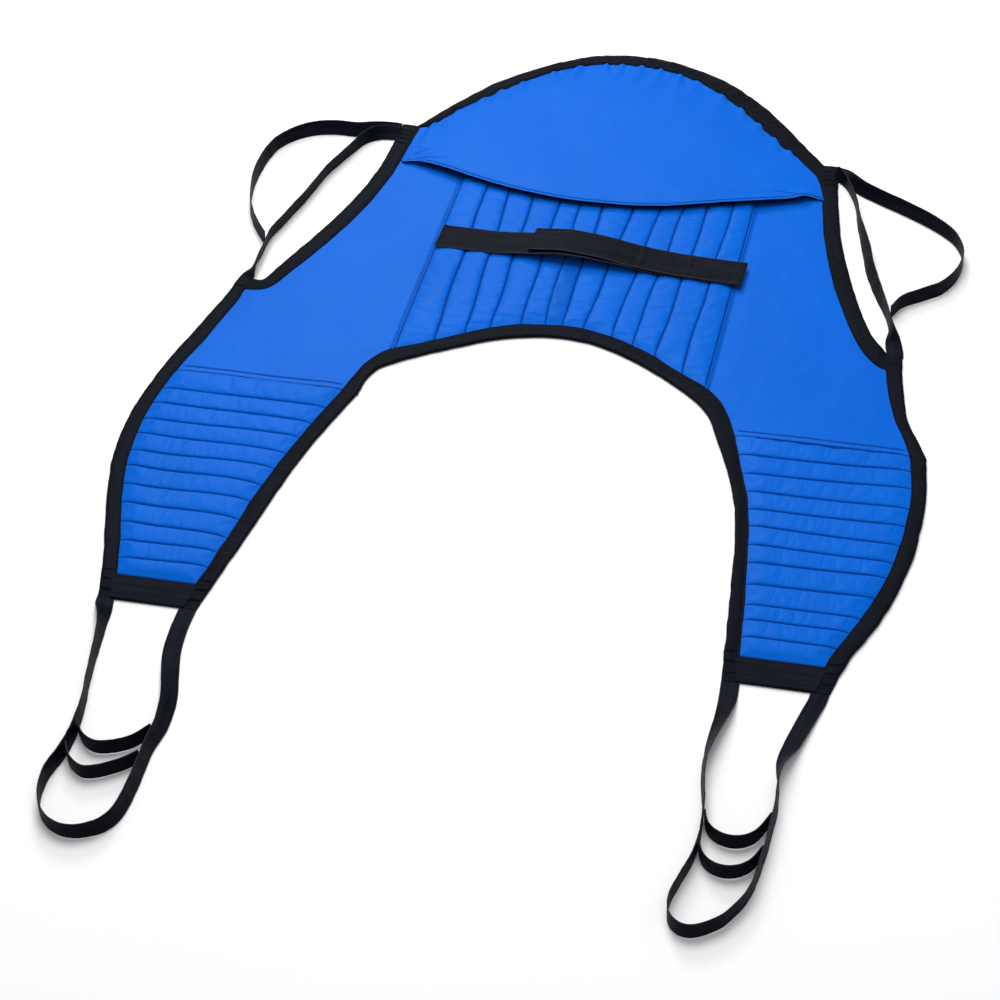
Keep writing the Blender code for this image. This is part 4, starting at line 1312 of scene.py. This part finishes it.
def build_handle():
    """Two layers of wide webbing; spots are their rows of stitching, negative ones measured from the far end."""
    sewn = Stitching()
    for name, points, seed, spots in (
        ("handle_base", HANDLE_BASE, 91, (0.005, 0.084, -0.004)),
        ("handle_grip", HANDLE_GRIP, 92, (0.004, -0.166, -0.162, -0.090, -0.086, -0.012, -0.006)),
    ):
        line = catmull(points, 10)
        line[:, 2] = np.maximum(line[:, 2], 0)
        line = eased(resample(line, int(lengths(line)[-1] / 0.002)), 8)
        path = world(line[:, 0], line[:, 1], HANDLE_LOW + line[:, 2])
        total = lengths(path)[-1]
        spots = [spot if spot > 0 else total + spot for spot in spots]
        made = strap(name, path, np.full(len(path), 90.0), "torso", seed, wide=HANDLE_WIDE, relief=handle_relief,
                     sway=0.35 * MM, cup=0.5 * MM, dents=spots)
        tack_rows(sewn, made, spots, reach=0.46, wide=HANDLE_WIDE, long=2.8 * MM)
        for share in (-0.46, 0.46):
            row = made["path"] + made["width_way"] * HANDLE_WIDE * share
            row = row + np.array([0, 0, WEBBING_THICK / 2 + 0.1 * MM])
            if name == "handle_base":
                row = row[row[:, 0] < -0.085]
            sewn.row(row, long=3.0 * MM, gap=1.2 * MM, thick=0.5 * MM, lift=0.0)
    sewn.sew_on("handle_stitching", "black_thread", "torso")


BAND_WIDE = 0.049
BAND_HIGH = 4.6 * MM
# The leg band's cross-section going round: shares of its width and of its height.
BAND_PROFILE = [(0.0, 0.45), (0.012, 0.80), (0.04, 0.97), (0.10, 0.88), (0.17, 0.97), (0.34, 1.0), (0.42, 1.02),
                (0.47, 0.93), (0.53, 0.93), (0.58, 1.02), (0.66, 1.0), (0.83, 0.97), (0.90, 0.88), (0.96, 0.97),
                (0.988, 0.80), (1.0, 0.45), (0.985, 0.08), (0.5, 0.04), (0.015, 0.08)]


def build_leg_band(side):
    """The wide webbing sewn across the leg's end."""
    loop = loops[f"leg_band_{side}"]
    outer_x, inner_x = (EDGES[f"thigh_{place}_binding_{side}"][1] for place in ("outer", "inner"))
    start, end = ((float(x_on(edge, BAND_TOP_S)), BAND_TOP_S) for edge in (outer_x, inner_x))
    low_start, low_end = ((float(edge[-1, 0]), LEG_END_S) for edge in (outer_x, inner_x))
    count = 70
    grow = np.linspace(-1, 1, count)[:, None] * np.array([[-SIGN[side] * 0.006, 0.0]])
    top = resample(run(loop, start, end, low_start), count) + grow
    bottom = resample(run(loop, low_start, low_end, start), count) + grow
    along = lengths(top)
    ripple = wave(along, along * 0, 47 + SIGN[side], 0.05)
    profiles = [[(u, z * high) for u, z in BAND_PROFILE] for high in BAND_HIGH * (1 + 0.05 * ripple)]
    made, _ = tape_sweep(f"leg_band_{side}", "webbing", top, bottom - top, profiles, along, unit=BAND_WIDE)
    attach(made, f"thigh_{side}", f"leg_band_{side}")
    sewn = Stitching()
    for share in (0.10, 0.90):
        line = top * (1 - share) + bottom * share
        sewn.row(world(line[:, 0], line[:, 1], np.full(count, 4.1 * MM)), lift=0.3 * MM)
    sewn.sew_on(f"leg_band_stitching_{side}", "black_thread", f"thigh_{side}")


# ---------------------------------------------------------------- stage

# Area lights: name, place, the point each is aimed at, size in metres and power in watts.
LIGHTS = (
    ("back", (-1.1, 3.0, 2.5), (0, 0.1, 0), 1.2, 66),
    ("top", (-0.4, 1.1, 4.1), (0, -0.1, 0), 2.6, 134),
    ("front", (1.2, -2.4, 4.0), (0, -0.4, 0), 2.5, 36),
)
CAMERA_PLACE = (0.73095, -3.10920, 2.59138)
CAMERA_TURN = (-14.2998, 41.0, -2.4285)     # azimuth, height above the floor and roll, in degrees
CAMERA_LENS = 99.861


def build_stage():
    bpy.ops.mesh.primitive_plane_add(size=30, location=(0, 0, -0.0006))
    floor = bpy.context.active_object
    floor.name = "floor"
    floor.data.materials.append(pale_floor())
    scene = bpy.context.scene
    scene.view_settings.view_transform = "Standard"
    sky = bpy.data.worlds.new("soft_studio")
    sky.use_nodes = True
    background = sky.node_tree.nodes["Background"]
    background.inputs["Color"].default_value = (0.96, 0.98, 1.0, 1.0)
    background.inputs["Strength"].default_value = 0.28
    scene.world = sky
    for name, place, aim, size, power in LIGHTS:
        light = bpy.data.lights.new(name, "AREA")
        light.size = size
        light.energy = power
        made = bpy.data.objects.new(name, light)
        made.location = place
        made.rotation_euler = (Vector(aim) - Vector(place)).to_track_quat("-Z", "Y").to_euler()
        scene.collection.objects.link(made)


def build_camera():
    """The viewpoint: about 41 degrees above the floor, from the feet's end and to the right."""
    data = bpy.data.cameras.new("camera")
    data.lens = CAMERA_LENS
    data.sensor_width = 36
    data.clip_end = 50
    made = bpy.data.objects.new("camera", data)
    azimuth, elevation, roll = (math.radians(v) for v in CAMERA_TURN)
    turn = Matrix.Rotation(-azimuth, 4, "Z") @ Matrix.Rotation(math.pi / 2 - elevation, 4, "X")
    made.matrix_world = Matrix.Translation(CAMERA_PLACE) @ turn @ Matrix.Rotation(roll, 4, "Z")
    bpy.context.scene.collection.objects.link(made)
    bpy.context.scene.camera = made


def main():
    build_bindings()
    build_back_pad()
    build_liners()
    build_pocket()
    build_handle()
    for side in SIDES:
        build_side_panel(side)
        build_thigh_pad(side)
        build_leg_band(side)
        build_leg_loops(side)
        build_shoulder_loops(side)
    build_stage()
    build_camera()


main()
